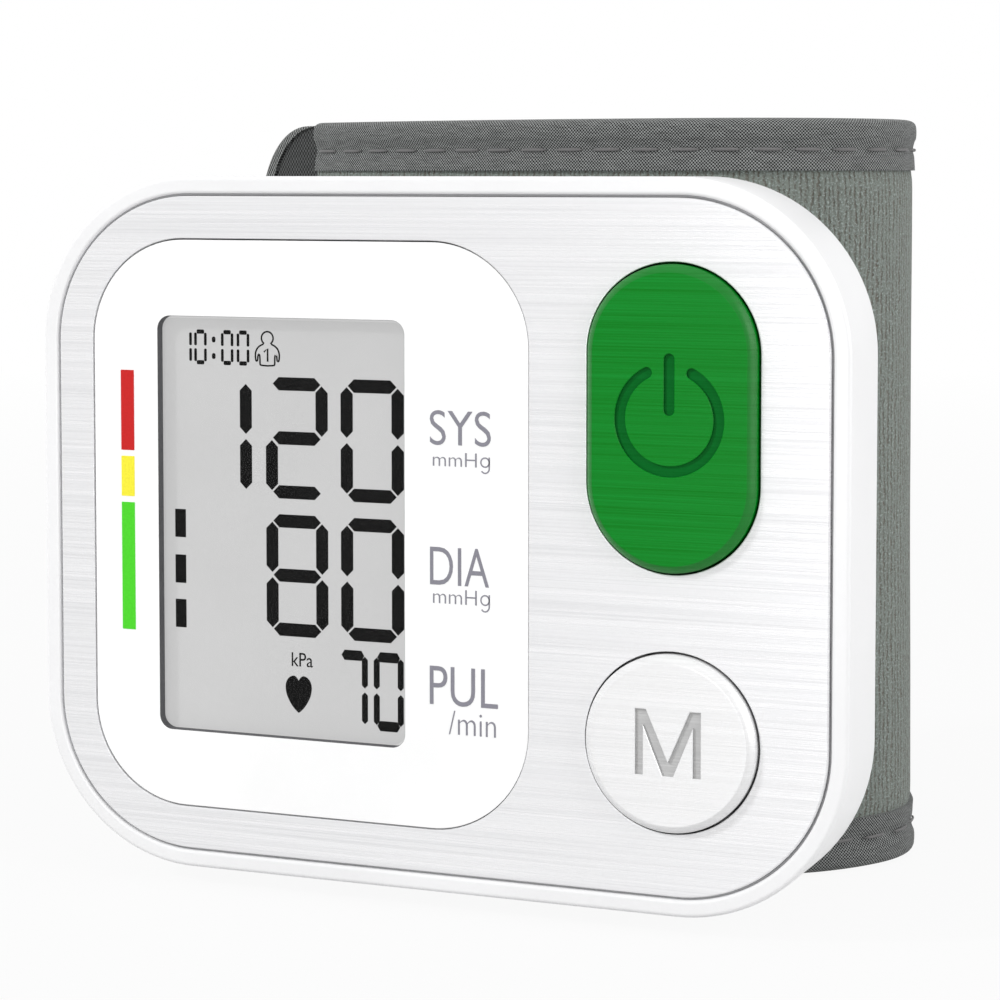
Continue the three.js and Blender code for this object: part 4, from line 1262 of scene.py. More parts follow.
@dataclass
class Display:
    """The readings of the liquid crystal display and what lies over and under them."""

    plane: float = 1.25
    lift: float = 0.03
    stroke: float = 1.24
    digit_width: float = 6.42
    hundreds: float = -24.64
    tens: float = -16.74
    units: float = -8.99
    upper_row: Pair = (2.71, 14.09)
    lower_row: Pair = (-10.24, 1.22)
    pulse_row: Pair = (-18.52, -11.14)
    pulse_width: float = 3.04
    pulse_tens: float = -9.33
    pulse_units: float = -5.68
    pulse_stroke: float = 0.6
    pulse_level: float = 0.95

    SEGMENTS = {
        "0": "abcdef", "1": "bc", "2": "abged", "3": "abgcd", "4": "fgbc", "5": "afgcd",
        "6": "afgedc", "7": "abc", "8": "abcdefg", "9": "abcdfg",
    }

    def build(self) -> None:
        """Builds and dresses the display."""
        dress("lcd_cell", Palette.DISPLAY)
        dress("display_window", Palette.PANE)
        dress("lcd_frame", Palette.DARK)
        form = Form()
        for figure, left, row in (
            ("1", self.hundreds, self.upper_row), ("2", self.tens, self.upper_row),
            ("0", self.units, self.upper_row),
            ("8", self.tens, self.lower_row), ("0", self.units, self.lower_row),
        ):
            self._digit(form, figure, left, self.digit_width, row, self.stroke, self.stroke)
        for figure, left in (("7", self.pulse_tens), ("0", self.pulse_units)):
            self._digit(form, figure, left, self.pulse_width, self.pulse_row,
                        self.pulse_stroke, self.pulse_level)
        self._clock(form)
        self._signs(form)
        piece = form.build("display_readings", Palette.SEGMENT)
        seat(piece, Body.CASE, "dark_plastic")

    def _mark(self, form: Form, outline: AnyOutline) -> None:
        """Adds one dark mark of the display."""
        form.slab(outline, self.plane - self.lift, self.plane)

    def _digit(self, form: Form, figure: str, left: float, width: float, row: Pair,
               stroke: float, level: float) -> None:
        """Adds a figure of seven pointed strokes.

        Args:
            form: form that takes the strokes.
            figure: the figure to show.
            left: left side of its box.
            width: width of its box.
            row: bottom and top of its box.
            stroke: width of the upright strokes.
            level: width of the level strokes.
        """
        low, high = row
        xl, xr = left + stroke / 2, left + width - stroke / 2
        zt, zb, zm = high - level / 2, low + level / 2, (low + high) / 2
        apart = 0.1 * stroke
        waist = 0.12 + apart
        uprights = {"f": (xl, zm + waist, zt), "b": (xr, zm + waist, zt),
                    "e": (xl, zb, zm - waist), "c": (xr, zb, zm - waist)}
        for name in self.SEGMENTS[figure]:
            if name in uprights:
                x, bottom, top = uprights[name]
                bottom, top = bottom + (apart if bottom == zb else 0), top - (apart if top == zt else 0)
                h = stroke / 2
                points = ((x, bottom), (x + h, bottom + h), (x + h, top - h),
                          (x, top), (x - h, top - h), (x - h, bottom + h))
            else:
                z = {"a": zt, "g": zm, "d": zb}[name]
                h, tip = level / 2, stroke / 2
                a, b = xl + apart, xr - apart
                points = ((a, z), (a + tip, z - h), (b - tip, z - h),
                          (b, z), (b - tip, z + h), (a + tip, z + h))
            self._mark(form, Corners(points))

    def _clock(self, form: Form) -> None:
        """Adds the time in small figures of round-ended bars.

        Args:
            form: form that takes the bars.
        """
        low, high, left = 15.07, 18.37, -24.8
        slim, level, level_corner = 0.27, 0.4, 0.12
        gap, end_gap, colon = 0.14, 0.3, 2.6
        middle = (low + high) / 2
        uprights = [left + slim / 2]
        for start, end in ((0.53, 1.85), (3.38, 4.68), (5.04, 6.36)):
            uprights += [left + start + slim / 2, left + end - slim / 2]
            for z in (low + level / 2, high - level / 2):
                width, x = end - start - 2 * slim, left + (start + end) / 2
                self._mark(form, Outline(width, level, level_corner, x, z, 4))
        reach = (high - low) / 2 - gap - end_gap
        for x in uprights:
            for side in (-1, 1):
                z = middle + side * (gap + reach / 2)
                self._mark(form, Outline(slim, reach, slim / 2 - 0.01, x, z, 4))
        for z in (15.89, 17.45):
            self._mark(form, Outline(0.37, 0.56, 0.18, left + colon, z, 6))

    def _signs(self, form: Form) -> None:
        """Adds the level blocks, the user sign, the unit of pressure and the pulse sign.

        Args:
            form: form that takes the signs.
        """
        for top, bottom in ((1.24, -1.44), (-3.12, -5.82), (-7.38, -10.08)):
            self._mark(form, Outline(1.14, top - bottom, 0.04, -25.87, (top + bottom) / 2, 2))
        self._user(form, -16.55)
        unit = Lettering("kPa", -14.15, -11.96, -13.05, -11.74)
        unit.set_on(form, self.plane - self.lift, self.plane)
        heart_x = -13.435
        half = smooth_line([
            (0.0, -14.4), (0.22, -14.08), (0.53, -13.93), (0.95, -14.1), (1.26, -14.5), (1.355, -15.05),
            (1.24, -15.75), (0.86, -16.52), (0.42, -17.08), (0.0, -17.43)], 4)
        left = [(-x, z) for x, z in half[1:-1]]
        self._mark(form, Corners(tuple((heart_x + x, z) for x, z in [*reversed(half), *left])))

    def _user(self, form: Form, x: float) -> None:
        """Adds the sign of the first user: a head and shoulders in outline round a figure.

        Args:
            form: form that takes the sign.
            x: its middle.
        """
        half, figure_half = 0.075, 0.085
        self._mark(form, ArcStroke(x, 17.7, 0.61, half, -52, 232, 40, 4))
        side = [(0.4, 17.14), (0.75, 16.98), (1.05, 16.72), (1.22, 16.35), (1.25, 15.95), (1.2, 15.6),
                (1.1, 15.54), (1.02, 15.65), (0.98, 16.0), (0.9, 16.18), (0.8, 16.05), (0.77, 15.7),
                (0.76, 15.25), (0.6, 15.15), (0.0, 15.11)]
        for sign in (-1, 1):
            line = smooth_line([(x + sign * px, pz) for px, pz in side], 3)
            self._mark(form, LineStroke(tuple(line), half))
        figure = ((x - 0.35, 16.4), (x + 0.03, 16.72), (x + 0.03, 15.5))
        self._mark(form, LineStroke(figure, figure_half))


# Keys


@dataclass
class Keys:
    """The oval power key and the round memory key, with sunk marks."""

    face: float = -1.05
    chamfer: float = 0.65
    flange_front: float = 3.4
    flange_back: float = 4.2
    flange: float = 0.9
    mark_depth: float = 0.25
    mark_edge: float = 0.06
    sign_radius: float = 4.575
    sign_half: float = 0.485
    sign_gap: float = 27.0
    sign_bar: float = 5.45
    sign_bar_z: float = 14.64

    def build(self) -> None:
        """Builds and dresses the keys."""
        x, z, half = POWER_LINE.x, POWER_LINE.z, self.sign_half
        ring = ArcStroke(x, z, self.sign_radius, half, 90 + self.sign_gap, 450 - self.sign_gap)
        bar = Outline(2 * half, self.sign_bar, half, x, self.sign_bar_z, 8)
        self._key("power_cap", POWER_LINE, [ring, bar], Body.POWER_KEY, "green_key",
                  (Palette.POWER, Palette.POWER_MARK, Palette.POWER_EDGE), "power_button")
        self._key("memory_cap", MEMORY_LINE, [self._letter()], Body.MEMORY_KEY, "white_key",
                  (Palette.MEMORY, Palette.MEMORY_MARK, Palette.MEMORY), "memory_button")

    @staticmethod
    def _letter() -> Corners:
        """Draws the capital M of the memory key.

        Returns:
            Its outline.
        """
        x, z, half_w, half_h = MEMORY_LINE.x, -17.05, 3.05, 2.925
        stem, foot, shoulder, valley = 0.72, 1.0, 1.4, 1.2
        inside = half_w - stem
        right = [(foot / 2, -half_h), (inside, half_h - shoulder), (inside, -half_h),
                 (half_w, -half_h), (half_w, half_h), (half_w - foot, half_h)]
        left = [(-px, pz) for px, pz in reversed(right)]
        points = [*right, (0.0, -half_h + valley), *left]
        return Corners(tuple((x + px, z + pz) for px, pz in points))

    def _key(self, name: str, line: Outline, marks: Sequence[AnyOutline], body: Body, slot: str,
             finishes: Sequence[Finish], node: str) -> None:
        """Builds one key.

        Args:
            name: name of the piece.
            line: outline of its side.
            marks: outlines sunk in its face.
            body: body that it moves with.
            slot: the record's material slot.
            finishes: finishes of its face, of the sunk marks and of the bevel.
            node: solid that it stands for.
        """
        form, c = Form(), self.chamfer
        flat, soft = 0.12, 0.05
        cut = soft * 0.6
        levels = [
            (self.face, c + flat), (self.face, c + soft), (self.face + cut, c - cut),
            (self.face + c - cut, cut), (self.face + c + soft, 0.0),
            (self.flange_front, 0.0), (self.flange_front, -self.flange), (self.flange_back, -self.flange),
        ]
        # The bevel takes the third finish, which on the power key is painted shade.
        first, last = form.walls(line, levels, -1, [0, 2, 2, 2, 0])
        rims = []
        edge = self.mark_edge
        sunk = [(self.face, edge), (self.face + edge, 0.0), (self.face + self.mark_depth, 0.0)]
        for mark in marks:
            # The walls and floors of the sunk marks take the second finish, painted shade.
            near, far = form.walls(mark, sunk, 1, [0, 1])
            rims.append(near)
            form.cap([far], 1)
        form.cap([first, *rims])
        form.cap([last])
        piece = form.build(name, *finishes, sharp=25.0)
        seat(piece, body, slot, node)


# Cuff


@dataclass(frozen=True)
class Bend:
    """One arc of the band seen from above, or a straight run where the radius is 0."""

    start: float
    length: float
    x: float
    y: float
    radius: float
    turn: float


@dataclass
class Band:
    """The outer face of the cuff's band, as a run of arcs by length from its near end."""

    apex_x: float = 16.0
    front: float = 22.0
    near_radius: float = 90.0
    near_length: float = 44.6
    tab_reach: float = 14.5
    corner_radius: float = 16.0
    corner_start: float = 2.0
    corner_end: float = 100.0
    side_run: float = 8.0
    back_radius: float = 29.0
    end_radius: float = 27.0
    loop_end: float = 262.0
    bends: list[Bend] = field(default_factory=list)
    hinge: float = 0.0
    end: float = 0.0

    def __post_init__(self) -> None:
        """Lays the arcs end to end."""
        first = -(self.near_length + self.tab_reach) / self.near_radius
        corner, side = math.radians(self.corner_start), math.radians(self.corner_end)
        self.end = -self.tab_reach
        self._arc((self.apex_x, self.front + self.near_radius), self.near_radius, first, corner)
        self._arc(None, self.corner_radius, corner, side)
        x, y, _, _ = self.at(self.end)
        self.bends.append(Bend(self.end, self.side_run, x, y, 0.0, side))
        self.end += self.side_run
        self.hinge = self.end
        self._arc(None, self.back_radius, side, math.pi)
        self._arc(None, self.end_radius, math.pi, math.radians(self.loop_end))

    def _arc(self, centre: Pair | None, radius: float, start: float, stop: float) -> None:
        """Adds an arc.

        Args:
            centre: its centre, or None for the one that carries the band on smoothly.
            radius: its radius.
            start: angle where it starts.
            stop: angle where it ends.
        """
        if centre is None:
            x, y, nx, ny = self.at(self.end)
            centre = (x - radius * nx, y - radius * ny)
        length = radius * (stop - start)
        self.bends.append(Bend(self.end, length, *centre, radius, start))
        self.end += length

    def at(self, length: float) -> tuple[float, float, float, float]:
        """Finds the outer face at a length.

        Args:
            length: distance along the band from its near end.

        Returns:
            Place across and in depth, and the outward normal there.
        """
        bend = next((b for b in reversed(self.bends) if length >= b.start - 1e-9), self.bends[0])
        if bend.radius == 0:
            nx, ny = math.sin(bend.turn), -math.cos(bend.turn)
            run = length - bend.start
            return bend.x - ny * run, bend.y + nx * run, nx, ny
        angle = bend.turn + (length - bend.start) / bend.radius
        nx, ny = math.sin(angle), -math.cos(angle)
        return bend.x + bend.radius * nx, bend.y + bend.radius * ny, nx, ny

    def point(self, length: float, depth: float, z: float) -> Triple:
        """A point at a length, a depth under the outer face, and a height."""
        x, y, nx, ny = self.at(length)
        return x - depth * nx, y - depth * ny, z


def bell(distance: float, width: float) -> float:
    """1 at a place, and less the further from it."""
    return math.exp(-(distance / width) ** 2)


@dataclass
class Cuff:
    """The cloth cuff: loop cloth, lining, bound and stitched edges, tab, hook patch and air bag."""

    band: Band = field(default_factory=Band)
    bottom: float = -34.3
    top: float = 38.2
    thick: float = 5.5
    layer_gap: float = 0.7
    cover_thick: float = 1.0
    lining_thick: float = 0.8
    tape_width: float = 4.85
    tape_thick: float = 0.42
    stitch_inset: float = 2.85
    stitch_pitch: float = 4.0
    stitch_length: float = 3.05
    stitch_lift: float = 0.17
    thread: float = 0.16
    step: float = 1.1
    fine_step: float = 0.8
    waist: float = 0.35
    bulge: float = 0.7
    flare: float = 0.55
    fold_reach: float = 4.3
    bag_stop: float = 12.0

    def build(self) -> None:
        """Builds and dresses the cuff."""
        self._cover()
        self._lining()
        for end in End:
            self._tape(end)
        self._tab()
        self._hook()
        self._stitches()
        self._bladder()

    def _span(self, margin: float = 0.0) -> Pair:
        """Lower and upper edge of a layer that stands in from the bound edges."""
        return self.bottom + self.layer_gap + margin, self.top - self.layer_gap - margin

    def _edge(self, z: float) -> float:
        """Distance of a height from the nearer bound edge."""
        return min(z - self.bottom, self.top - z)

    def _loft(self, form: Form, start: float, stop: float, step: float,
              section: Callable[[float], list[Triple]]) -> None:
        """Skins closed sections that stand at even steps along the band.

        Args:
            form: form that takes the skin.
            start: length along the band of the first section.
            stop: length of the last one.
            step: about how far apart they stand.
            section: gives depth, height and place on the flat cloth of each point, at a length.
        """
        count = max(2, round((stop - start) / step))
        rings = []
        for i in range(count + 1):
            length = start + (stop - start) * i / count
            spots = section(length)
            rings.append(form.ring(
                [self.band.point(length, depth, z) for depth, z, _ in spots],
                [(length, flat) for _, _, flat in spots]))
        form.loft(rings)

    def _across_hinge(self, piece: Piece, slot: str, *nodes: str) -> None:
        """Bakes the place of a piece of cloth that spans the hinge from the case to the arm into its
        mesh, and hides the solids it stands for.

        Args:
            piece: the cloth.
            slot: the record's material slot; not used.
            *nodes: solids that it stands for.
        """
        x, y, _, _ = self.band.at(self.band.hinge)
        tilt, reach = (-0.1, 0.995), self.fold_reach
        start = FACE.at(x - tilt[0] * reach, y - tilt[1] * reach, 0.0)
        end = FACE.at(x + tilt[0] * reach, y + tilt[1] * reach, 0.0)
        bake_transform(piece)
        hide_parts(*nodes)
        LOG.info("%s across the hinge", piece.name)

    def _heights(self, low: float, high: float) -> list[float]:
        """Finds the rows of a cloth, closer together where it runs under the bindings.

        Args:
            low: its lower edge.
            high: its upper edge.

        Returns:
            Their heights, upwards.
        """
        margin, near, inner = self.tape_width + 2.0, 8, 18
        lower = [low + margin * i / near for i in range(near)]
        middle = [low + margin + (high - low - 2 * margin) * i / inner for i in range(inner + 1)]
        return [*lower, *middle, *(high - margin * (near - 1 - i) / near for i in range(near))]

    def _sway(self, length: float, z: float) -> float:
        """Finds how far the outer face lies inside the band's line: out at the corner, in at the hinge.

        Args:
            length: length along the band.
            z: height.

        Returns:
            The depth, negative where the face stands out.
        """
        past = length - self.band.hinge
        drawn = self.waist * bell(past - 1.0, 6.0)
        out = self.bulge + self.flare * (self.top - z) / (self.top - self.bottom)
        return drawn - out * bell(past + 12.0, 7.0)

    def _pucker(self, length: float, z: float) -> float:
        """Finds how far the stitched line pulls the cloth in.

        Args:
            length: length along the band.
            z: height.

        Returns:
            The depth.
        """
        pull, ripple, width = 0.1, 0.07, 1.1
        wave = pull + ripple * math.cos(FULL_TURN * length / self.stitch_pitch)
        return wave * bell(self._edge(z) - self.stitch_inset, width)

    def _cover(self) -> None:
        """Builds the outer loop cloth."""
        form = Form()
        low, high = self._span()
        rows = self._heights(low, high)
        hollow, tuck, tuck_run, ripple, least = 0.1, 0.32, 0.35, 0.03, 0.45

        def section(length: float) -> list[Triple]:
            """Draws the cloth at a length.

            Args:
                length: length along the band.

            Returns:
                Depth, height and place on the flat cloth of each point.
            """
            spots = []
            for z in rows:
                under = 1 / (1 + math.exp((self._edge(z) - self.tape_width) / tuck_run))
                middle = math.cos(math.pi * (z - (low + high) / 2) / (high - low)) ** 2
                wave = math.sin(length * 0.21 + 0.6 * math.sin(z * 0.17)) * math.sin(z * 0.13 + 1.0)
                depth = hollow * middle + tuck * under + ripple * wave + self._sway(length, z)
                spots.append((depth, z, z))
            for z in reversed(rows[::4]):
                spots.append((max(self.cover_thick, self._sway(length, z) + least), z, z))
            return spots

        self._loft(form, 0.0, self.band.end, self.step, section)
        self._closed_end(form, self.band.end, 0.5, 0.42)
        self._closed_end(form, 0.0, -0.3, 3.45)
        piece = form.build("cuff_outer_cloth", Palette.COVER, Palette.TAPE, sharp=50.0)
        self._across_hinge(piece, "cuff_fabric", "cuff_cover", "flap_cover")

    def _closed_end(self, form: Form, end: float, out: float, front: float) -> None:
        """Turns the cloth in at an end of the band, so that no hollow shows.

        Args:
            form: form that takes the turned edge.
            end: length along the band of that end.
            out: how far the edge swells past it, negative at the near end.
            front: depth where the edge starts.
        """
        inset, tuck, rows, steps, squareness = 0.35, 0.8, 40, 8, 0.7
        low, high, back = self.bottom + inset, self.top - inset, self.thick - 0.4
        inner = end - math.copysign(tuck, out)
        spots = [(inner, front)]
        for step in range(steps + 1):
            angle = math.pi * (step / steps - 0.5)
            depth = (front + back) / 2 + (back - front) / 2 * math.sin(angle)
            spots.append((end + out * abs(math.cos(angle)) ** squareness, depth))
        spots.append((inner, back))
        rings = []
        for row in range(rows + 1):
            z = low + (high - low) * row / rows
            rings.append(form.ring(
                [self.band.point(length, depth, z) for length, depth in spots],
                [(depth, z) for _, depth in spots]))
        form.loft(rings, 1)

    def _lining(self) -> None:
        """Builds the soft lining, crowned between its seams."""
        form = Form()
        rows = self._heights(*self._span())
        bag_end, bag_fade, near_run, crown_run = self.band.hinge - self.bag_stop, 3.0, 6.0, 14.0
        sunk, slack_puff, full_puff, ripple = 0.35, 0.25, 0.65, 0.08

        def section(length: float) -> list[Triple]:
            """Draws the cloth at a length.

            Args:
                length: length along the band.

            Returns:
                Depth, height and place on the flat cloth of each point.
            """
            fill = 1.0 / (1.0 + math.exp((length - bag_end) / bag_fade))
            fill *= min(1.0, max(0.0, length / near_run)) ** 0.5
            spots = []
            for z in rows:
                share = max(0.0, min(1.0, (self._edge(z) - self.stitch_inset) / crown_run))
                crown = math.sin(math.pi / 2 * share)
                wave = ripple * math.sin(length * 0.3 + z * 0.05) * math.sin(z * 0.22)
                puff = slack_puff + full_puff * fill
                spots.append((self.thick - sunk + (puff + wave) * crown, z, z))
            return spots + [(self.thick - self.lining_thick, z, z) for z in reversed(rows[::4])]

        self._loft(form, 0.0, self.band.end, self.step, section)
        piece = form.build("cuff_lining_cloth", Palette.LINING, sharp=50.0)
        self._across_hinge(piece, "lining", "cuff_lining", "flap_lining")

    def _tape_line(self) -> list[Pair]:
        """Draws the outer line of the folded tape.

        Returns:
            Depth and distance from the bound edge of each point.
        """
        width, seam, fold = self.tape_width, self.stitch_inset, -0.15
        outer = [(-0.27, width), (-0.24, width - 0.7), (-0.21, seam + 0.6), (-0.08, seam),
                 (-0.24, seam - 0.8), (-0.38, 1.7), (-0.4, 0.9), (-0.26, 0.3), (0.25, -0.05), (1.1, fold)]
        inner = [(self.thick - depth, edge) for depth, edge in reversed(outer)]
        return smooth_line([*outer, (self.thick / 2, fold), *inner], 3)

    def _tape(self, end: End) -> None:
        """Builds the tape folded over one edge of the band.

        Args:
            end: which edge it binds.
        """
        form = Form()
        line = self._tape_line()
        edge = self.top if end is End.TOP else self.bottom
        flats = [0.0]
        for a, b in zip(line, line[1:]):
            flats.append(flats[-1] + math.dist(a, b))

        def section(length: float) -> list[Triple]:
            """Draws the tape at a length, its outside and then its inside.

            Args:
                length: length along the band.

            Returns:
                Depth, height and place on the flat tape of each point.
            """
            outside, inside = [], []
            for i, (depth, off) in enumerate(line):
                before, after = line[max(i - 1, 0)], line[min(i + 1, len(line) - 1)]
                run = math.dist(before, after)
                nx, nz = (after[1] - before[1]) / run, (before[0] - after[0]) / run
                z = edge + end.value * off
                pull = self._pucker(length, z)
                near = max(0.0, 1 - 2 * max(depth, 0.0) / self.thick)
                pull = pull + self._sway(length, z) * near if depth < self.thick / 2 else -pull
                outside.append((depth + pull, z, flats[i]))
                inside.append((
                    depth + pull - nx * self.tape_thick, z - end.value * nz * self.tape_thick, flats[i]))
            return outside + inside[::-1]

        self._loft(form, 0.0, self.band.end, self.fine_step, section)
        name = end.name.lower()
        piece = form.build(f"cuff_tape_{name}", Palette.TAPE, sharp=60.0)
        self._across_hinge(piece, "binding", f"cuff_binding_{name}", f"flap_binding_{name}")

    def _tab(self) -> None:
        """Builds the rounded tab behind the near end, with its bound rim."""
        form = Form()
        reach, tuck, corner, rim, inset = self.band.tab_reach, 5.0, 10.5, 2.4, 0.15
        front, back, rise, round_run, sunk = 1.3, 3.5, 0.35, 0.8, 0.3
        turns, straights, columns = 18, 24, 10
        low, high = self.bottom + inset, self.top - inset
        bend = [math.pi / 2 * i / turns for i in range(turns)]
        rows = [(low + corner * (1 - math.cos(a)), corner * (1 - math.sin(a)) - reach) for a in bend]
        rows += [(low + corner + (high - low - 2 * corner) * i / straights, -reach)
                 for i in range(straights + 1)]
        rows += [(low + high - z, edge) for z, edge in reversed(rows[:turns])]
        near = (0.0, 0.06, 0.2, 0.45, 0.8, 1.2, rim - 0.15, rim, rim + 0.15, rim + 0.6)

        def inside(length: float, z: float) -> float:
            """Measures how far a place lies inside the rounded outline.

            Args:
                length: length along the band.
                z: height.

            Returns:
                The distance.
            """
            across, along = min(z - low, high - z), length + reach
            if across < corner and along < corner:
                return corner - math.hypot(corner - across, corner - along)
            return min(across, along)

        rings = []
        for column in range(len(near) + columns):
            spots = []
            for side, depth in ((-1, front), (1, back)):
                for z, edge in rows if side < 0 else reversed(rows):
                    away = near[min(column, len(near) - 1)]
                    away += (tuck - edge - away) * max(0, column - len(near) + 1) / columns
                    gap = max(0.0, inside(edge + away, z))
                    swell = rise * math.sqrt(max(0.0, 1 - max(0.0, 1 - gap / round_run) ** 2))
                    swell -= sunk if away > rim else 0.0
                    spots.append((edge + away, depth + side * (swell - sunk), z))
            rings.append(form.ring(
                [self.band.point(*spot) for spot in spots], [(length, z) for length, _, z in spots]))
        form.loft(rings)
        # Past its rim the tab takes painted shade (finish 1).
        ring_faces = len(rings[0])
        for i in range(ring_faces * near.index(rim), ring_faces * (len(rings) - 1)):
            form.finish_of[i] = 1
        piece = form.build("cuff_tab_cloth", Palette.RIM, Palette.TAB_SHADE, sharp=60.0)
        seat(piece, Body.CASE, "binding", "cuff_tab")

    def _hook(self) -> None:
        """Builds the hook patch sewn inside the far end."""
        form = Form()
        margin, length, thick, lift, rows = 5.0, 26.0, 0.8, 0.3, 24
        end_drop, end_run, side_drop, side_run = 0.5, 1.5, 0.3, 0.35
        stop = self.band.end - margin
        low = self.bottom + self.tape_width + margin
        high = self.top - self.tape_width - margin
        base = self.thick + lift

        def section(place: float) -> list[Triple]:
            """Draws the patch at a length.

            Args:
                place: length along the band.

            Returns:
                Depth, height and place on the flat patch of each point.
            """
            gap = min(place - (stop - length), stop - place)
            ends = 1 - end_drop * max(0.0, 1 - gap / end_run) ** 2
            spots = [(base, low, low), (base, high, high)]
            for i in range(rows + 1):
                z = high - (high - low) * i / rows
                drop = max(0.0, 1 - min(z - low, high - z) / side_run) ** 2
                spots.append((base + thick * ends - side_drop * drop, z, z))
            return spots

        self._loft(form, stop - length, stop, 1.0, section)
        piece = form.build("hook_patch_pile", Palette.HOOK, sharp=60.0)
        seat(piece, Body.ARM, "hook", "hook_patch")

    def _stitches(self) -> None:
        """Sews the bound edges on both faces of the band."""
        form = Form()
        for i in range(int(self.band.end / self.stitch_pitch)):
            middle = (i + 0.5) * self.stitch_pitch
            for z in (self.top - self.stitch_inset, self.bottom + self.stitch_inset):
                self._stitch(form, middle, -self.stitch_lift + self._sway(middle, z), z, -1)
                self._stitch(form, middle, self.thick + self.stitch_lift, z, 1)
        piece = form.build("cuff_stitching", Palette.THREAD, sharp=60.0)
        self._across_hinge(piece, "binding")

    def _stitch(self, form: Form, middle: float, depth: float, z: float, side: int) -> None:
        """Adds one stitch, whose ends dip into the cloth.

        Args:
            form: form that takes the stitch.
            middle: length along the band of its middle.
            depth: depth of the thread's middle.
            z: height of the seam.
            side: -1 on the outer face, 1 on the inner face.
        """
        half_steps, sides, flatness, tip, dip, twist = 4, 8, 0.8, 0.03, 0.22, 0.3
        rings = []
        for i in range(2 * half_steps + 1):
            share = i / half_steps - 1
            radius = self.thread * math.sqrt(max(tip, 1 - share ** 4))
            middle_depth = depth - side * dip * share ** 4
            length = middle + share * self.stitch_length / 2
            angles = [FULL_TURN * k / sides for k in range(sides)]
            rings.append(form.ring(
                [self.band.point(length, middle_depth + flatness * radius * math.cos(a),
                                 z + radius * math.sin(a)) for a in angles],
                [(length, twist * k) for k in range(sides)]))
        form.loft(rings)

    def _bladder(self) -> None:
        """Builds the flat air bag between the stiffener and the lining."""
        form = Form()
        start, stop, margin, rows = 5.3, self.band.hinge - self.bag_stop, 5.0, 24
        low, high = self._span(margin)
        middle, half, seal, weld = 3.6, 0.8, 0.2, 3.0

        def section(length: float) -> list[Triple]:
            """Draws the bag at a length, its outer and then its inner side.

            Args:
                length: length along the band.

            Returns:
                Depth, height and place on the flat bag of each point.
            """
            along = min(1.0, min(length - start, stop - length) / weld)
            spots = []
            for side in (-1, 1):
                for i in range(rows + 1):
                    z = low + (high - low) * (i if side < 0 else rows - i) / rows
                    full = min(along, min(z - low, high - z) / weld, 1.0)
                    swell = seal + (half - seal) * math.sin(math.pi / 2 * max(0.0, full))
                    spots.append((middle + side * swell, z, z))
            return spots

        self._loft(form, start, stop, 1.0, section)
        piece = form.build("air_bladder", Palette.RUBBER, sharp=60.0)
        seat(piece, Body.CASE, "rubber", "cuff_bladder")


# What the case holds


@dataclass
class Inside:
    """The pieces that the case and the cuff hide: solids that keep their shapes, and two hoses."""

    bore: float = 0.55
    sides: int = 20

    FINISHES = {
        Palette.STEEL: (
            "case_screw_1", "case_screw_2", "case_screw_3", "case_screw_4",
            "board_screw_1", "board_screw_2",
            "battery_contact_1", "battery_contact_2", "battery_bridge", "pump_motor",
            "cuff_rivet_1", "cuff_rivet_2", "cuff_rivet_3", "cuff_rivet_4"),
        Palette.DARK: (
            "controller_chip", "power_switch", "memory_switch", "battery_tray", "pump_head",
            "pressure_sensor", "exhaust_valve"),
        Palette.RUBBER: (
            "lcd_contact_strip", "power_plunger", "memory_plunger"),
        Palette.PALE: ("air_tee", "cuff_connector", "cuff_stiffener", "flap_stiffener"),
        Palette.CELL: ("battery_cell_1", "battery_cell_2"),
        Palette.BOARD: ("circuit_board",),
    }

    def build(self) -> None:
        """Dresses the hidden solids and lays the air hoses."""
        for finish, nodes in self.FINISHES.items():
            for node in nodes:
                dress(node, finish)
        self._hoses()

    def _hoses(self) -> None:
        """Lays the two soft air hoses between the ends of their solids."""
        low, high = (self._place(corner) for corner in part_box("valve_hose"))
        radius = (high[1] - low[1]) / 2
        y, z = low[1] + radius, low[2] + radius
        self._hose("valve_tube", [(high[0], y, z), (low[0], y, z)], radius, "valve_hose")
        start, end = (self._place(corner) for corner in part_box("pump_hose"))
        depth = start[1] + radius
        if abs(depth - y) < 0.1:
            depth = end[1] - radius
        port = (end[0] - radius, depth, end[2])
        route = [
            (start[0], y, z), (start[0] + radius, y, z),
            (port[0] - radius, (y + port[1]) / 2, z + radius), (*port[:2], port[2] - radius), port]
        self._hose("pump_tube", route, radius, "pump_hose")

    @staticmethod
    def _place(corner: Vector) -> Triple:
        """Turns a place in the row frame into millimetres from the face."""
        return tuple((value - start) / MM for value, start in zip(corner, (FACE.x, FACE.y, FACE.z)))

    def _hose(self, name: str, route: Sequence[Triple], radius: float, node: str) -> None:
        """Lays one hose with an open bore.

        Args:
            name: name of the piece.
            route: points that its middle line passes.
            radius: its outer radius.
            node: solid that it stands for.
        """
        form = Form()
        angles = [FULL_TURN * k / self.sides for k in range(self.sides)]
        line = [Vector(point) for point in smooth_line(route, 8)]
        skins: list[list[list[int]]] = [[], []]
        for i, middle in enumerate(line):
            ahead = (line[min(i + 1, len(line) - 1)] - line[max(i - 1, 0)]).normalized()
            across = ahead.cross(Vector((0.0, 1.0, 0.0))).normalized()
            up = across.cross(ahead)
            for skin, reach in zip(skins, (radius, radius * self.bore)):
                skin.append(form.ring(
                    tuple(middle + reach * (math.cos(a) * across + math.sin(a) * up)) for a in angles))
        for skin in skins:
            for first, second in zip(skin, skin[1:]):
                form.skin(first, second)
        for place in (0, -1):
            form.skin(skins[0][place], skins[1][place])
        piece = form.build(name, Palette.RUBBER, sharp=50.0)
        seat(piece, Body.CASE, "rubber", node)


# Studio


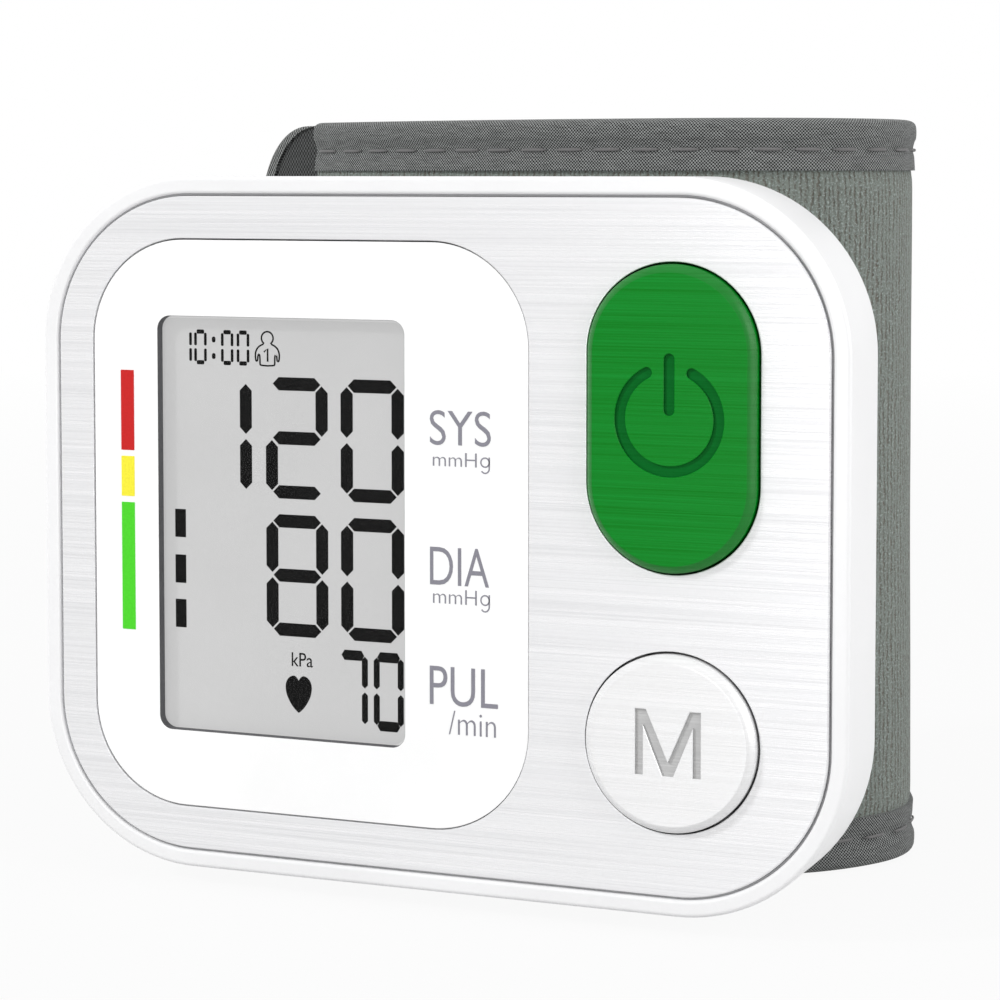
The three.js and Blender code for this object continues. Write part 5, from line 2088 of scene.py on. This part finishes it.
@dataclass
class Studio:
    """Floor, white surroundings, soft lamps and the camera."""

    yaw: float = 0.3905
    pitch: float = 0.0627
    place: Triple = (104.167, -234.894, 33.188)
    lens: float = 102.02
    sensor: float = 36.0
    shift: float = -0.15
    ambient: float = 0.62
    shadow: float = 0.07
    clear_from: float = 0.2
    clear_to: float = 0.7
    floor_half: float = 30.0
    floor_colour: Colour = (0.55, 0.55, 0.55)
    white: Colour = (1.0, 1.0, 1.0)
    target: Triple = (0.0, -0.01, 0.036)

    def build(self) -> None:
        """Sets the stage."""
        scene = bpy.context.scene
        scene.view_settings.view_transform = "Standard"
        self._camera()
        self._world()
        self._floor()
        for name, spot, size, power in (  # place and side in metres, power in watts
            ("lamp_key", (-0.7, -0.68, 0.7), 0.12, 6.5),
            ("lamp_front", (-0.13, -1.04, 0.08), 0.14, 1.15),
            ("lamp_right", (0.55, -0.12, 0.22), 0.35, 1.55),
            ("lamp_top", (0.1, 0.0, 1.1), 1.0, 1.0),
        ):
            self._lamp(name, spot, size, power)
        bpy.data.objects["lamp_key"].visible_glossy = False

    def _camera(self) -> None:
        """Stands the camera where the photograph was taken."""
        data = bpy.data.cameras.new("camera")
        data.lens, data.sensor_width, data.shift_y = self.lens, self.sensor, self.shift
        data.clip_start = 0.01
        camera = bpy.data.objects.new("camera", data)
        bpy.context.scene.collection.objects.link(camera)
        camera.location = FACE.at(*self.place)
        forward = Vector((
            -math.sin(self.yaw) * math.cos(self.pitch), math.cos(self.yaw) * math.cos(self.pitch),
            -math.sin(self.pitch)))
        camera.rotation_euler = forward.to_track_quat("-Z", "Y").to_euler()
        bpy.context.scene.camera = camera

    @staticmethod
    def _seen(w: Wiring) -> Socket:
        """Picks the rays that show the surroundings: straight, reflected or through glass.

        Args:
            w: wiring of the material or the world.

        Returns:
            1 for those rays and 0 for the others.
        """
        path = w.add("ShaderNodeLightPath").outputs
        shown = w.math("MAXIMUM", path["Is Camera Ray"], path["Is Glossy Ray"])
        return w.math("MAXIMUM", shown, path["Is Transmission Ray"])

    def _world(self) -> None:
        """Makes even white surroundings."""
        world = bpy.data.worlds.new("studio")
        bpy.context.scene.world = world
        world.use_nodes = True
        w = Wiring(world.node_tree)
        background = world.node_tree.nodes["Background"]
        w.feed(background.inputs["Color"], w.full(self.white))
        w.feed(background.inputs["Strength"], w.spread(self._seen(w), 0.0, 1.0, self.ambient, 1.0))

    def _floor(self) -> None:
        """Lays a pale floor that keeps the part's shadow."""
        mesh = bpy.data.meshes.new("floor")
        half = self.floor_half
        corners = [(-half, -half, 0.0), (half, -half, 0.0), (half, half, 0.0), (-half, half, 0.0)]
        mesh.from_pydata(corners, [], [(0, 1, 2, 3)])
        material = bpy.data.materials.new("pale_floor")
        material.use_nodes = True
        tree = material.node_tree
        tree.nodes.clear()
        w = Wiring(tree)
        matt = w.add("ShaderNodeBsdfDiffuse", {"Color": w.full(self.floor_colour)}).outputs[0]
        white = w.add("ShaderNodeEmission", {"Color": w.full(self.white), "Strength": 1.0}).outputs[0]
        place = w.add("ShaderNodeNewGeometry").outputs["Position"]
        away = w.add("ShaderNodeVectorMath", {0: place}, operation="LENGTH").outputs["Value"]
        fade = w.spread(away, self.clear_from, self.clear_to, 1.0 - self.shadow, 1.0)
        share = w.math("MULTIPLY", self._seen(w), fade)
        surface = w.add("ShaderNodeMixShader", {0: share, 1: matt, 2: white}).outputs[0]
        w.add("ShaderNodeOutputMaterial", {"Surface": surface})
        mesh.materials.append(material)
        floor = bpy.data.objects.new("floor", mesh)
        bpy.context.scene.collection.objects.link(floor)

    def _lamp(self, name: str, spot: Triple, size: float, power: float) -> None:
        """Hangs a soft square lamp that faces the part.

        Args:
            name: name of the lamp.
            spot: its place in metres.
            size: its side in metres.
            power: its power in watts.
        """
        data = bpy.data.lights.new(name, "AREA")
        data.shape, data.size, data.energy = "SQUARE", size, power
        lamp = bpy.data.objects.new(name, data)
        bpy.context.scene.collection.objects.link(lamp)
        lamp.location = spot
        aim = Vector(self.target) - Vector(spot)
        lamp.rotation_euler = aim.to_track_quat("-Z", "Y").to_euler()


def main() -> None:
    """Builds every sub-assembly in order."""
    logging.basicConfig(level=logging.INFO, format="%(message)s")
    for assembly in (Studio(), Case(), Fascia(), Display(), Keys(), Cuff(), Inside()):
        LOG.info("building %s", type(assembly).__name__)
        assembly.build()


if __name__ == "__main__":
    main()
